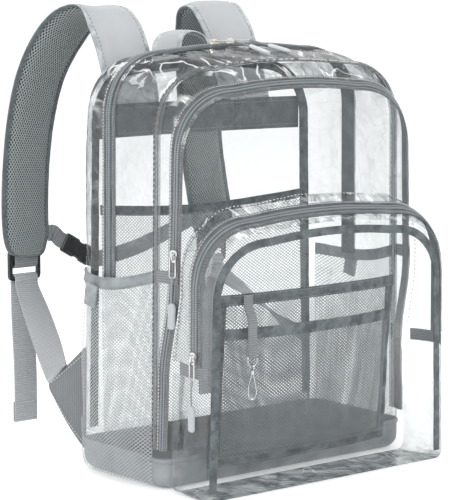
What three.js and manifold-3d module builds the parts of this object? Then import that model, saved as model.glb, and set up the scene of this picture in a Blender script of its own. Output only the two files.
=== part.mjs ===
// Clear stadium backpack: see-through shell, three zipped compartments, mesh pockets,
// padded shoulder straps, key clip. Millimetres, +Z up, the front faces -Y.
// The origin is the centre of the footprint, on the floor.
import * as THREE from 'three';
import { mergeVertices } from 'three/addons/utils/BufferGeometryUtils.js';
import Module from 'manifold-3d';

const wasm = await Module();
wasm.setup();

// Driving sizes of the shell
const bagHeight = 427;
const bagWidth = 318;
const mainDepth = 126;
const middleDepth = 31;
const pocketDepth = 46;
const middleHeight = 386;
const pocketHeight = 272;
const cornerRadius = 70;
const middleTaper = 14;
const patchBottom = 205;
const backBulge = 16;
const middleBulge = 19;
const frontBulge = 6;
const trayHeight = 40;
const trayEdge = 14;
const trayCorner = 15;

// Walls and clearances
const clearWall = 1.1;
const clothWall = 1.6;
const tabWall = 3.2;
const meshWall = 1.2;
const seamGap = 0.5;
const faceGap = 1.6;
const organizerGap = 1.4;
const seatGap = 0.4;

// Trims and fittings
const zipWidth = 15;
const coilWidth = 5;
const coilLift = 1.3;
const bindingWidth = 10;
const pipingSize = 4;
const strapWidth = 66;
const strapPad = 11;
const webWidth = 28;
const webWall = 1.9;
const handleWidth = 30;
const handleWall = 3.2;
const chestWidth = 20;
const bandHeight = 34;
const bandBottom = 333;
const sleeveHeight = 262;
const sidePocketHeight = 206;
const sidePocketBulge = 13;
const sideBindingHeight = 12;
const organizerWidth = 234;
const organizerTop = 192;
const organizerBottom = 20;
const organizerPocketTop = 159;
const organizerBinding = 11;
const patchHeight = 12;
const tabBottom = 119;
const tabHeight = 12;
const sleeveGap = 10;
const handleX = -8;
const handleSpan = 62;
const keyStrapWidth = 11;
const keyStrapLength = 60;
const keyRingRadius = 6;
const keyWire = 0.8;
const hookLength = 29;
const hookWidth = 12;

// Places worked out from the sizes
const totalDepth = mainDepth + middleDepth + pocketDepth;
const halfWidth = bagWidth / 2;
const backY = totalDepth / 2;
const pipingY = backY - mainDepth;
const middleY = pipingY - middleDepth;
const frontY = -totalDepth / 2;
const trayFrontY = middleY + middleTaper + 2;
const mainZipY = backY - mainDepth * 0.42;
const middleZipY = pipingY - middleDepth * 0.76;
const pocketZipY = middleY - pocketDepth * 0.7;

const colours = {
  clear: 0xe4eaec,
  cloth: 0x666e71,
  tape: 0x7c8386,
  mesh: 0xb9c0c3,
  webbing: 0x9aa0a3,
  strap: 0xbfc4c7,
  metal: 0xc9cbcc,
  plastic: 0x2b2e30,
};

function finish(colour, roughness = 0.8, metalness = 0) {
  return new THREE.MeshStandardMaterial({ color: colour, roughness, metalness });
}

const looks = {
  clear: finish(colours.clear, 0.1),
  cloth: finish(colours.cloth),
  tape: finish(colours.tape),
  mesh: finish(colours.mesh),
  webbing: finish(colours.webbing),
  strap: finish(colours.strap),
  metal: finish(colours.metal, 0.25, 1),
  plastic: finish(colours.plastic, 0.45),
};

const bag = new THREE.Group();

function add(name, geometry, look, place) {
  const mesh = new THREE.Mesh(geometry, look);
  mesh.name = name;
  if (place) {
    place(mesh);
  }
  bag.add(mesh);
  return mesh;
}

// Turns a list of corners and triangles into a closed geometry that faces outwards
function closed(points, faces) {
  let volume = 0;
  const cross = new THREE.Vector3();
  for (const [a, b, c] of faces) {
    volume += points[a].dot(cross.crossVectors(points[b], points[c]));
  }
  const index = volume < 0 ? faces.flatMap(([a, b, c]) => [a, c, b]) : faces.flat();
  const geometry = new THREE.BufferGeometry();
  geometry.setAttribute('position', new THREE.Float32BufferAttribute(
    points.flatMap((p) => [p.x, p.y, p.z]), 3));
  geometry.setIndex(index);
  return geometry;
}

// A wall between two grids of points with the same rows and columns
function wallBetween(outer, inner) {
  const rows = outer.length;
  const columns = outer[0].length;
  const points = [...outer.flat(), ...inner.flat()];
  const far = rows * columns;
  const at = (row, column, side) => side * far + row * columns + column;
  const faces = [];
  const quad = (a, b, c, d) => faces.push([a, b, c], [a, c, d]);
  for (let row = 0; row < rows - 1; row += 1) {
    for (let column = 0; column < columns - 1; column += 1) {
      quad(at(row, column, 0), at(row, column + 1, 0), at(row + 1, column + 1, 0), at(row + 1, column, 0));
      quad(at(row, column, 1), at(row + 1, column, 1), at(row + 1, column + 1, 1), at(row, column + 1, 1));
    }
  }
  for (let column = 0; column < columns - 1; column += 1) {
    quad(at(0, column, 0), at(0, column, 1), at(0, column + 1, 1), at(0, column + 1, 0));
    quad(at(rows - 1, column, 0), at(rows - 1, column + 1, 0), at(rows - 1, column + 1, 1),
      at(rows - 1, column, 1));
  }
  for (let row = 0; row < rows - 1; row += 1) {
    quad(at(row, 0, 0), at(row + 1, 0, 0), at(row + 1, 0, 1), at(row, 0, 1));
    quad(at(row, columns - 1, 0), at(row, columns - 1, 1), at(row + 1, columns - 1, 1),
      at(row + 1, columns - 1, 0));
  }
  return closed(points, faces);
}

// A grid of points and a wall thickness on the side that its normals point away from
function wallFromGrid(grid, wall) {
  const rows = grid.length;
  const columns = grid[0].length;
  const inner = grid.map((line, row) => line.map((point, column) => {
    const along = new THREE.Vector3().subVectors(
      grid[row][Math.min(column + 1, columns - 1)], grid[row][Math.max(column - 1, 0)]);
    const down = new THREE.Vector3().subVectors(
      grid[Math.min(row + 1, rows - 1)][column], grid[Math.max(row - 1, 0)][column]);
    return point.clone().addScaledVector(along.cross(down).normalize(), wall);
  }));
  return wallBetween(grid, inner);
}

// Rings with the same number of points, joined and capped; mirrored names sides cut by the other diagonal
function loft(rings, mirrored = []) {
  const points = rings.flat();
  const sides = rings[0].length;
  const faces = [];
  for (let ring = 0; ring < rings.length - 1; ring += 1) {
    for (let side = 0; side < sides; side += 1) {
      const next = (side + 1) % sides;
      const a = ring * sides + side;
      const b = ring * sides + next;
      if (mirrored.includes(side)) faces.push([a, b, a + sides], [b, b + sides, a + sides]);
      else faces.push([a, b, b + sides], [a, b + sides, a + sides]);
    }
  }
  const last = (rings.length - 1) * sides;
  for (let side = 1; side < sides - 1; side += 1) {
    faces.push([0, side + 1, side], [last, last + side, last + side + 1]);
  }
  return closed(points, faces);
}

// The same rings, with the last one joined to the first
function loopLoft(rings) {
  const points = rings.flat();
  const sides = rings[0].length;
  const count = rings.length;
  const faces = [];
  for (let ring = 0; ring < count; ring += 1) {
    for (let side = 0; side < sides; side += 1) {
      const next = (side + 1) % sides;
      const a = ring * sides + side;
      const b = ring * sides + next;
      const c = ((ring + 1) % count) * sides + next;
      const d = ((ring + 1) % count) * sides + side;
      faces.push([a, b, c], [a, c, d]);
    }
  }
  return closed(points, faces);
}

function tangentsOf(path) {
  return path.map((point, i) => new THREE.Vector3().subVectors(
    path[Math.min(i + 1, path.length - 1)], path[Math.max(i - 1, 0)]).normalize());
}

// Oval sections along a path; across is the direction of the width
function strip(path, across, width, wall, roundness = 0.25, mirrored = []) {
  const tangents = tangentsOf(path);
  const rings = path.map((point, i) => {
    const side = (Array.isArray(across) ? across[i] : across).clone();
    side.addScaledVector(tangents[i], -side.dot(tangents[i])).normalize();
    const out = new THREE.Vector3().crossVectors(tangents[i], side);
    const half = (Array.isArray(width) ? width[i] : width) / 2;
    const deep = (Array.isArray(wall) ? wall[i] : wall) / 2;
    const cut = Math.min(half, deep / roundness) * roundness;
    return [[-1, -1, 1, 0], [-1, -1, 0, 1], [-1, 1, 0, -1], [-1, 1, 1, 0],
      [1, 1, -1, 0], [1, 1, 0, -1], [1, -1, 0, 1], [1, -1, -1, 0]].map(([sx, sy, cx, cy]) => point.clone()
      .addScaledVector(side, sx * half + cx * cut)
      .addScaledVector(out, sy * deep + cy * Math.min(cut, deep * 0.6)));
  });
  return loft(rings, mirrored);
}

function wire(path, radius, sides = 6, loop = false) {
  const curve = new THREE.CatmullRomCurve3(path, loop, 'centripetal');
  const steps = Math.max(5, path.length * 2);
  const frames = curve.computeFrenetFrames(steps, loop);
  const rings = [];
  for (let i = 0; i < (loop ? steps : steps + 1); i += 1) {
    const centre = curve.getPointAt(i / steps);
    rings.push(Array.from({ length: sides }, (_, k) => {
      const turn = k * 2 * Math.PI / sides;
      return centre.clone()
        .addScaledVector(frames.normals[i], radius * Math.cos(turn))
        .addScaledVector(frames.binormals[i], radius * Math.sin(turn));
    }));
  }
  return loop ? loopLoft(rings) : loft(rings);
}

function toSolid(geometry) {
  const bare = geometry.clone();
  bare.deleteAttribute('normal');
  bare.deleteAttribute('uv');
  const merged = mergeVertices(bare, 1e-4);
  return new wasm.Manifold(new wasm.Mesh({
    numProp: 3,
    vertProperties: new Float32Array(merged.attributes.position.array),
    triVerts: new Uint32Array(merged.index.array),
  }));
}

function fromSolid(solid) {
  const mesh = solid.getMesh();
  const geometry = new THREE.BufferGeometry();
  geometry.setAttribute('position', new THREE.BufferAttribute(mesh.vertProperties, 3));
  geometry.setIndex(new THREE.BufferAttribute(mesh.triVerts, 1));
  return geometry;
}

function joined(...geometries) {
  return fromSolid(geometries.map(toSolid).reduce((a, b) => a.add(b)));
}

function cutFrom(geometry, ...tools) {
  return fromSolid(tools.map(toSolid).reduce((a, b) => a.subtract(b), toSolid(geometry)));
}

// Shell surfaces: the shape of the arch at each depth, as shares of the driving sizes
const mainRows = [
  // depth from the back seam, half width, half width at the floor, height
  { depth: 0.0, half: 0.925, foot: 0.965, top: 0.975 },
  { depth: 0.04, half: 0.962, foot: 0.99, top: 0.986 },
  { depth: 0.14, half: 0.99, foot: 1.01, top: 0.996 },
  { depth: 0.34, half: 0.997, foot: 1.015, top: 1.0 },
  { depth: 0.58, half: 0.992, foot: 1.012, top: 0.99 },
  { depth: 0.8, half: 0.977, foot: 1.005, top: 0.968 },
  { depth: 0.9, half: 0.962, foot: 1.012, top: 0.934 },
  { depth: 1.0, half: 0.925, foot: 1.0, top: 0.904 },
];
const pocketRows = [
  { depth: 0.0, half: 0.955, foot: 0.98, top: 1.045 },
  { depth: 0.2, half: 0.985, foot: 1.0, top: 1.035 },
  { depth: 0.5, half: 1.0, foot: 1.012, top: 1.01 },
  { depth: 0.8, half: 0.998, foot: 1.01, top: 0.978 },
  { depth: 0.93, half: 0.982, foot: 1.0, top: 0.955 },
  { depth: 1.0, half: 0.955, foot: 0.985, top: 0.925 },
];

function mix(a, b, share) {
  return a + (b - a) * share;
}

function rowAt(rows, depth) {
  const next = rows.findIndex((row) => row.depth >= depth);
  if (next <= 0) {
    return next === 0 ? rows[0] : rows[rows.length - 1];
  }
  const [low, high] = [rows[next - 1], rows[next]];
  const share = (depth - low.depth) / (high.depth - low.depth);
  return {
    half: mix(low.half, high.half, share),
    foot: mix(low.foot, high.foot, share),
    top: mix(low.top, high.top, share),
  };
}

function mainArch(y) {
  const row = rowAt(mainRows, (backY - y) / (mainDepth + middleDepth));
  return { half: row.half * halfWidth, foot: row.foot * halfWidth, top: row.top * bagHeight };
}

function pocketArch(y) {
  const row = rowAt(pocketRows, (middleY - y) / pocketDepth);
  return { half: row.half * halfWidth, foot: row.foot * halfWidth, top: row.top * pocketHeight };
}

const crown = 5;
const cornerPower = 2.3;
const sideSteps = 4;
const panelRows = 6;
const cornerSteps = 5;
const topSteps = 4;

// Half the width of the arch at a height
function halfAt(arch, z) {
  const start = arch.top - cornerRadius;
  if (z <= start) {
    return mix(arch.foot, arch.half, Math.pow(Math.max(0, z / start), 0.8));
  }
  const rise = Math.min(1, (z - start) / (cornerRadius - crown));
  return arch.half - cornerRadius
    + cornerRadius * Math.pow(1 - Math.pow(rise, cornerPower), 1 / cornerPower);
}

// Points of the arch from the left foot, over the top, to the right foot, moved in by inset
function archPoints(arch, footZ, inset = 0) {
  const start = arch.top - cornerRadius;
  const left = [];
  for (let i = 0; i < sideSteps; i += 1) {
    const z = mix(footZ, start, i / sideSteps);
    left.push([inset - halfAt(arch, z), z]);
  }
  const reach = cornerRadius - inset;
  const lift = cornerRadius - crown - inset;
  for (let i = 0; i <= cornerSteps; i += 1) {
    const turn = (i / cornerSteps) * Math.PI / 2;
    const power = 2 / cornerPower;
    left.push([
      -(arch.half - cornerRadius) - reach * Math.pow(Math.cos(turn), power),
      start + lift * Math.pow(Math.sin(turn), power),
    ]);
  }
  const flat = arch.half - cornerRadius;
  const middle = [];
  for (let i = 1; i < topSteps; i += 1) {
    const x = mix(-flat, flat, i / topSteps);
    middle.push([x, arch.top - inset - crown * Math.pow(x / flat, 2)]);
  }
  return [...left, ...middle, ...left.slice().reverse().map(([x, z]) => [-x, z])];
}

// How far the middle compartment draws back towards its bottom
function drawBack(z) {
  const share = Math.min(1, Math.max(0, (patchBottom - z) / (patchBottom * 0.45)));
  return middleTaper * share * share * (3 - 2 * share);
}

// A strip of the shell between two depths, with the rows given as shares and a lift;
// fromFace and toFace can give each edge a depth of its own
function shellStrip(archAt, fromY, toY, footZ, wall, rows, fromFace = () => fromY, toFace = () => toY) {
  const grid = rows.map(([share, lift]) => archPoints(archAt(mix(fromY, toY, share)), footZ, -lift)
    .map(([x, z]) => new THREE.Vector3(x, mix(fromFace(x, z), toFace(x, z), share), z)));
  return wallFromGrid(grid, wall);
}

const plainRows = (count) => Array.from({ length: count + 1 }, (_, i) => [i / count, 0]);

function coilRows() {
  const edge = (1 - coilWidth / zipWidth) / 2;
  return [[0, 0], [edge, 0], [edge + 0.05, coilLift], [0.95 - edge, coilLift], [1 - edge, 0], [1, 0]];
}

// A band that lies flat on a panel, between the arch and the same arch moved in
function flatBand(arch, footZ, width, wall, yAt) {
  const grid = [0, 1].map((share) => archPoints(arch, footZ, share * width + seamGap)
    .map(([x, z]) => new THREE.Vector3(x, yAt(x, z), z)));
  const inner = grid.map((line) => line.map((p) => new THREE.Vector3(p.x, p.y + wall, p.z)));
  return wallBetween(grid, inner);
}

// A sheet across the bag inside an arch; its wall runs towards the back
function panel(arch, inset, footZ, topZ, wall, yAt, columns = 9) {
  const start = arch.top - cornerRadius;
  const heights = [];
  const low = Math.min(topZ, start);
  for (let i = 0; i <= panelRows; i += 1) {
    heights.push(mix(footZ, low, i / panelRows));
  }
  const rise = cornerRadius - crown - inset;
  for (const share of [0.35, 0.62, 0.8, 0.92, 1]) {
    const z = start + rise * share;
    if (topZ > start && z <= topZ + 1e-6) {
      heights.push(z);
    }
  }
  const grid = heights.map((z) => {
    const half = halfAt(arch, Math.min(z, arch.top - crown - inset * 0.5)) - inset;
    const flat = Math.max(1, arch.half - cornerRadius);
    return Array.from({ length: columns + 1 }, (_, i) => {
      const x = mix(-half, half, i / columns);
      const arched = crown * Math.max(0, 1 - Math.pow(x / flat, 2)) * Math.pow(z / arch.top, 8);
      return new THREE.Vector3(x, yAt(x, z), z + arched);
    });
  });
  const inner = grid.map((line) => line.map((p) => new THREE.Vector3(p.x, p.y + wall, p.z)));
  return wallBetween(grid, inner);
}

// How far the panels swell: full in the middle, nothing at their edges
function swell(x, z, half, low, high) {
  const across = 1 - Math.pow(Math.min(1, Math.abs(x) / half), 2.6);
  const share = Math.min(1, Math.max(0, (z - low) / (high - low)));
  return across * Math.pow(Math.sin(Math.PI * share), 0.6);
}

const backFace = (x, z) => backY - 1 + backBulge * swell(x, z, halfWidth * 0.9, 0, bagHeight);
const middleFace = (x, z) => middleY + drawBack(z)
  - (middleBulge + drawBack(z)) * swell(x, z, halfWidth * 0.98, -30, middleHeight);
const frontFace = (x, z) => frontY - frontBulge * swell(x, z, halfWidth, -20, pocketHeight);

// Cloth tray that is the bottom of the main and middle compartments
function trayOutline(inset) {
  const points = [];
  const half = halfWidth * 1.008 - inset;
  const corners = [
    [half, backY + 1 - inset, 0], [-half, backY + 1 - inset, 1],
    [-half, trayFrontY + inset, 2], [half, trayFrontY + inset, 3],
  ];
  const radius = trayCorner - inset * 0.6;
  for (const [x, y, quarter] of corners) {
    const centre = [x - Math.sign(x) * radius, y - Math.sign(y) * radius];
    for (let i = 0; i <= 4; i += 1) {
      const turn = (quarter + i / 4) * Math.PI / 2;
      points.push([centre[0] + radius * Math.cos(turn), centre[1] + radius * Math.sin(turn)]);
    }
  }
  return points;
}

function trayRing(inset, z) {
  return trayOutline(inset).map(([x, y]) => new THREE.Vector3(x, y, z));
}

const trayOuter = [[trayEdge, 0], [trayEdge * 0.42, trayEdge * 0.14], [trayEdge * 0.1, trayEdge * 0.5],
  [0, trayEdge], [0, trayHeight]];
const trayRings = trayOuter.map(([inset, z]) => trayRing(inset, z));
for (const [inset, z] of trayOuter.slice().reverse()) {
  trayRings.push(trayRing(inset + clothWall, Math.max(z, clothWall)));
}
trayRings[trayRings.length - 1] = trayRing(trayEdge + clothWall, clothWall);
add('base_tray', loft(trayRings), looks.cloth);

// Main compartment
const footZ = trayHeight + seamGap;
const half = zipWidth / 2;
const panelInset = 2.5;
const panelTop = (arch, inset) => arch.top - crown - inset;

function sized(arch, inset) {
  return { half: arch.half - inset, foot: arch.foot - inset, top: arch.top - inset };
}

function addMainCompartment() {
  const rear = mainZipY + half + seamGap;
  const front = pipingY + pipingSize / 2;
  add('gusset_rear', shellStrip(mainArch, backY, rear, footZ, clearWall,
    [[0, 0], [0.14, 0], [0.5, 0], [1, 0]]), looks.clear);
  add('main_zip', shellStrip(mainArch, mainZipY + half, mainZipY - half, footZ, clothWall, coilRows()),
    looks.tape);
  add('gusset_front', shellStrip(mainArch, mainZipY - half - seamGap, front + seamGap, footZ, clearWall,
    plainRows(2)), looks.clear);
  add('main_piping', shellStrip(mainArch, front, pipingY - pipingSize / 2, footZ, pipingSize,
    [[0, 0], [0.5, 1], [1, 0]]), looks.tape);
  const backArch = mainArch(backY);
  add('back_panel', panel(backArch, panelInset, footZ, panelTop(backArch, panelInset), clearWall, backFace),
    looks.clear);
  add('back_binding', flatBand(sized(backArch, panelInset), footZ, bindingWidth, clothWall,
    (x, z) => backFace(x, z) - clothWall - seamGap), looks.cloth);
  const dividerY = front + 1.5;
  const dividerArch = mainArch(dividerY);
  const dividerInset = pipingSize + 2;
  add('divider_panel', panel(dividerArch, dividerInset, footZ, panelTop(dividerArch, dividerInset),
    clearWall, () => dividerY, 4), looks.clear);
}

// A sheet that follows the back, from low to high; foldAt moves its rows
function backSheet(halfX, low, high, wall, offset, columns, rows, foldAt = () => 0) {
  const grid = Array.from({ length: rows + 1 }, (_, row) => Array.from({ length: columns + 1 },
    (__, column) => {
      const x = mix(-halfX, halfX, column / columns);
      const z = mix(low, high, row / rows) + foldAt(x, row / rows);
      return new THREE.Vector3(x, backFace(x, z) + offset, z);
    }));
  const inner = grid.map((line) => line.map((p) => new THREE.Vector3(p.x, p.y + wall, p.z)));
  return wallBetween(grid, inner);
}

function addBackFittings() {
  const bandHalf = halfWidth * 0.86;
  add('strap_band', backSheet(bandHalf, bandBottom, bandBottom + bandHeight, clothWall,
    clearWall + faceGap, 12, 1), looks.cloth);
  const sleeveHalf = halfWidth * 0.86;
  const sag = (x, share) => -14 * share * Math.cos(Math.PI * x / (2.2 * halfWidth));
  const top = sleeveHeight + seamGap;
  add('laptop_sleeve', backSheet(sleeveHalf, clothWall + 2 * seatGap, sleeveHeight, meshWall, -sleeveGap,
    8, 4, sag), looks.mesh);
  add('sleeve_binding', backSheet(sleeveHalf, top, top + bindingWidth, clothWall, -sleeveGap, 8, 1,
    (x) => sag(x, 1)), looks.cloth);
}

// A patch of cloth on the shell, at one side, between two depths and two heights
function sidePatch(archAt, side, fromY, toY, low, high, wall, offset, columns = 3, draw = 0) {
  const grid = [low, high].map((z) => Array.from({ length: columns + 1 }, (_, i) => {
    const y = mix(fromY, toY, i / columns);
    return new THREE.Vector3(side * (halfAt(archAt(y), z) + offset), y + drawBack(z) * draw, z);
  }));
  const inner = grid.map((line) => line.map((p) => new THREE.Vector3(p.x + side * wall, p.y, p.z)));
  return wallBetween(grid, inner);
}

function addMiddleCompartment() {
  const rear = pipingY - pipingSize / 2 - seamGap;
  const zipRear = middleZipY + half * 0.8;
  const zipFront = middleY + 1.5;
  add('mid_gusset', shellStrip(mainArch, rear, zipRear + seamGap, footZ, clearWall, plainRows(2),
    () => rear, (x, z) => zipRear + seamGap + drawBack(z)), looks.clear);
  add('mid_zip', shellStrip(mainArch, zipRear, zipFront, footZ, clothWall, coilRows(),
    (x, z) => zipRear + drawBack(z), (x, z) => zipFront + drawBack(z)), looks.tape);
  const arch = mainArch(middleY + 1);
  const edge = seamGap + 0.2;
  add('mid_panel', panel(arch, edge, footZ, panelTop(arch, edge), clearWall, middleFace),
    looks.clear);
  for (const [name, side] of [['left', -1], ['right', 1]]) {
    add(`mid_end_patch_${name}`, sidePatch(mainArch, side, rear, middleY + 2, patchBottom,
      patchBottom + patchHeight, clothWall, coilLift + seamGap, 3), looks.cloth);
  }
}

const pocketCorner = 9;

// The clear strip that runs down one side of the front pocket, under it and up the other side
function pocketBase() {
  const corner = pocketCorner;
  const fromY = middleY - 2 * faceGap;
  const toY = frontY + clearWall + seatGap;
  const grid = [0, 0.45, 1].map((share) => {
    const left = [];
    const topZ = tabBottom - seamGap;
    const edgeY = (z) => mix(fromY + drawBack(z), toY, share);
    const archHalf = (z) => halfAt(pocketArch(edgeY(z)), z);
    for (const part of [0, 0.33, 0.66]) {
      const z = mix(topZ, corner, part);
      left.push(new THREE.Vector3(-archHalf(z), edgeY(z), z));
    }
    for (let i = 0; i <= 4; i += 1) {
      const turn = (i / 4) * Math.PI / 2;
      const z = corner * (1 - Math.sin(turn));
      left.push(new THREE.Vector3(-archHalf(corner) + corner * (1 - Math.cos(turn)), edgeY(z), z));
    }
    const right = left.slice().reverse().map((p) => new THREE.Vector3(-p.x, p.y, p.z));
    const middle = [-0.5, 0, 0.5].map((s) => new THREE.Vector3(s * 2 * right[0].x * 0.98, edgeY(0), 0));
    return [...left, ...middle, ...right];
  });
  return wallFromGrid(grid, -clearWall);
}

function addFrontPocket() {
  const rear = middleY - panelInset;
  const zipRear = pocketZipY + half;
  const zipFront = pocketZipY - half;
  const footTop = tabBottom + tabHeight + seamGap;
  add('pocket_gusset', shellStrip(pocketArch, rear, zipRear + seamGap, footTop, clearWall, plainRows(2),
    (x, z) => Math.max(zipRear + 3, middleFace(x, z) - faceGap)), looks.clear);
  add('front_zip', shellStrip(pocketArch, zipRear, zipFront, footTop, clothWall, coilRows()), looks.tape);
  add('front_edge', shellStrip(pocketArch, zipFront - seamGap, frontY + clearWall + seatGap, footTop,
    clearWall, plainRows(2)), looks.clear);
  add('pocket_base', pocketBase(), looks.clear);
  for (const [name, side] of [['left', -1], ['right', 1]]) {
    add(`front_end_tab_${name}`, sidePatch(pocketArch, side, rear + 2, frontY + 1, tabBottom,
      tabBottom + tabHeight, clothWall, -clothWall, 4), looks.cloth);
  }
  const arch = pocketArch(frontY);
  const foot = pocketCorner * 0.4;
  add('front_panel', panel(arch, seatGap, foot, panelTop(arch, seatGap), clearWall, frontFace), looks.clear);
  add('front_binding', flatBand(sized(arch, panelInset), pocketCorner, bindingWidth * 0.8, clothWall,
    (x, z) => frontFace(x, z) + clearWall + seamGap), looks.cloth);
}

// A flat frame round a rectangle, bent on to a face
function bentFrame(halfX, low, high, width, wall, yAt, steps = 7) {
  const around = (inset) => {
    const x = halfX - inset;
    const corners = [[-x, low + inset], [x, low + inset], [x, high - inset], [-x, high - inset]];
    return corners.flatMap(([fromX, fromZ], i) => {
      const [toX, toZ] = corners[(i + 1) % corners.length];
      return Array.from({ length: steps }, (_, k) => [
        mix(fromX, toX, k / steps), mix(fromZ, toZ, k / steps)]);
    });
  };
  const [outer, inner] = [around(0), around(width)];
  return loopLoft(outer.map(([x, z], i) => {
    const [innerX, innerZ] = inner[i];
    return [
      new THREE.Vector3(x, yAt(x, z), z), new THREE.Vector3(x, yAt(x, z) - wall, z),
      new THREE.Vector3(innerX, yAt(innerX, innerZ) - wall, innerZ),
      new THREE.Vector3(innerX, yAt(innerX, innerZ), innerZ),
    ];
  }));
}

function frontSheet(halfX, low, high, wall, yAt, columns = 8, rows = 3) {
  const grid = Array.from({ length: rows + 1 }, (_, row) => Array.from({ length: columns + 1 },
    (__, column) => {
      const x = mix(-halfX, halfX, column / columns);
      const z = mix(low, high, row / rows);
      return new THREE.Vector3(x, yAt(x, z), z);
    }));
  const inner = grid.map((line) => line.map((p) => new THREE.Vector3(p.x, p.y - wall, p.z)));
  return wallBetween(grid, inner);
}

const organizerHalf = organizerWidth / 2;
const organizerFace = (x, z) => middleFace(x, z) - organizerGap;
const pouchPuff = 7;

// The pouch stands away from the organizer between its side seams
function pouchFace(x, z) {
  const across = Math.pow(Math.max(0, 1 - Math.pow(x / organizerHalf, 2)), 0.5);
  const up = Math.min(1, Math.max(0, (z - organizerBottom) / 25));
  return organizerFace(x, z) - clothWall - seamGap - pouchPuff * across * up;
}

function addOrganizer() {
  const inner = organizerBinding + seamGap;
  add('organizer_frame', bentFrame(organizerHalf, organizerBottom, organizerTop, organizerBinding, clothWall,
    organizerFace), looks.cloth);
  add('organizer_mesh', frontSheet(organizerHalf - inner, organizerBottom + inner, organizerTop - inner,
    meshWall, organizerFace), looks.mesh);
  const pouchHalf = organizerHalf - inner;
  const pouchTop = organizerPocketTop - organizerBinding;
  add('organizer_pocket', frontSheet(pouchHalf, organizerBottom + inner, pouchTop - seamGap, meshWall,
    pouchFace), looks.mesh);
  add('organizer_pocket_binding', frontSheet(pouchHalf, pouchTop, organizerPocketTop, clothWall, pouchFace,
    8, 1), looks.cloth);
}

// Key strap, ring and snap hook
const keyX = -organizerHalf + 33;
const keyStrapTop = organizerTop - 1;
const keyStrapEnd = keyStrapTop - keyStrapLength;
const keyY = pouchFace(keyX, keyStrapEnd) - clothWall - 4.2;
const ringZ = keyStrapEnd - keyRingRadius + 2.2;
const eyeRadius = 2.7;
const eyeZ = ringZ - keyRingRadius - eyeRadius + 2 * keyWire + 0.6;

function torus(radius, thickness, turnX, turnY, place) {
  const geometry = new THREE.TorusGeometry(radius, thickness, 5, 16);
  geometry.rotateX(turnX);
  geometry.rotateY(turnY);
  geometry.translate(place.x, place.y, place.z);
  return geometry;
}

const collarLength = 4;
const collarRadius = 1.9;
const collarZ = eyeZ - eyeRadius - collarLength / 2 - keyWire / 2;
const gateWire = keyWire * 0.85;
const gatePivot = new THREE.Vector3(keyX + hookWidth * 0.12, keyY,
  collarZ - collarLength / 2 - seatGap - gateWire * 0.25);
const gateEnd = { out: 0.41, drop: 0.68 };

function addKeyClip() {
  const ringPlace = new THREE.Vector3(keyX, keyY, ringZ);
  const top = new THREE.Vector3(keyX, organizerFace(keyX, keyStrapTop) - clothWall - seamGap - 1.2,
    keyStrapTop);
  const path = [top, new THREE.Vector3(keyX, top.y - 0.6, keyStrapTop - 11),
    new THREE.Vector3(keyX, keyY, mix(keyStrapTop, keyStrapEnd, 0.42)),
    new THREE.Vector3(keyX, keyY, keyStrapEnd + 9),
    new THREE.Vector3(keyX, keyY, keyStrapEnd + 3), new THREE.Vector3(keyX, keyY, keyStrapEnd - 1.8)];
  const strap = strip(path, new THREE.Vector3(1, 0, 0), keyStrapWidth, [2.2, 2.2, 2.2, 2.4, 4.6, 4.4]);
  add('key_strap', cutFrom(strap, torus(keyRingRadius, keyWire + seatGap, Math.PI / 2, 0, ringPlace)),
    looks.webbing);
  add('key_ring', torus(keyRingRadius, keyWire, Math.PI / 2, 0, ringPlace), looks.metal);
  const at = (x, drop) => new THREE.Vector3(keyX + x * hookWidth, keyY, eyeZ - eyeRadius - drop * hookLength);
  const eye = torus(eyeRadius, keyWire, 0, Math.PI / 2, new THREE.Vector3(keyX, keyY, eyeZ));
  const collar = new THREE.CylinderGeometry(collarRadius, collarRadius, collarLength, 10);
  collar.rotateX(Math.PI / 2);
  collar.translate(keyX, keyY, collarZ);
  const bow = wire([at(-0.04, 0.13), at(-0.2, 0.3), at(-0.4, 0.55), at(-0.44, 0.76), at(-0.3, 0.94),
    at(0, 1), at(0.3, 0.94), at(0.42, 0.8), at(gateEnd.out, gateEnd.drop)], keyWire);
  add('key_hook', joined(eye, collar, bow), looks.metal);
  const gateTip = at(gateEnd.out, gateEnd.drop).add(new THREE.Vector3(0, 0, seatGap + gateWire * 0.25));
  const gateMiddle = gatePivot.clone().lerp(gateTip, 0.5);
  add('key_hook_gate', wire([gatePivot, gateMiddle, gateTip], gateWire), looks.metal);
}

// Mesh side pockets with elastic tops
const sideFromY = backY - 5;
const sideToY = pipingY + 4;
const sideTabLength = 22;
const sideTabWidth = 18;

// Half the width of the tray at a depth, round its back corners
function trayHalfAt(y) {
  const into = Math.max(0, y - (backY + 1 - trayCorner));
  return halfWidth * 1.008 - trayCorner + Math.sqrt(Math.max(0, trayCorner * trayCorner - into * into));
}

function sideTop(share) {
  return sidePocketHeight - 5 * Math.sin(Math.PI * share) + 9 * share * share;
}

function sideSheet(side, lowAt, highAt, wall, rows, offsetAt) {
  const columns = 8;
  const grid = Array.from({ length: rows + 1 }, (_, row) => Array.from({ length: columns + 1 },
    (__, column) => {
      const share = column / columns;
      const y = mix(sideFromY, sideToY, share);
      const z = mix(lowAt(share), highAt(share), row / rows);
      const surface = Math.max(halfAt(mainArch(y), z), z < trayHeight + trayEdge ? trayHalfAt(y) : 0);
      return new THREE.Vector3(side * (surface + offsetAt(share, z)), y, z);
    }));
  const inner = grid.map((line) => line.map((p) => new THREE.Vector3(p.x + side * wall, p.y, p.z)));
  return wallBetween(grid, inner);
}

function sideOffset(share, z) {
  const up = Math.min(1, z / sidePocketHeight);
  const out = Math.pow(Math.sin(Math.PI * share), 0.7);
  const puff = sidePocketBulge * Math.pow(Math.sin(Math.PI * mix(0.12, 0.9, up)), 0.8);
  return seamGap + (coilLift + clothWall + puff) * out;
}

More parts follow.
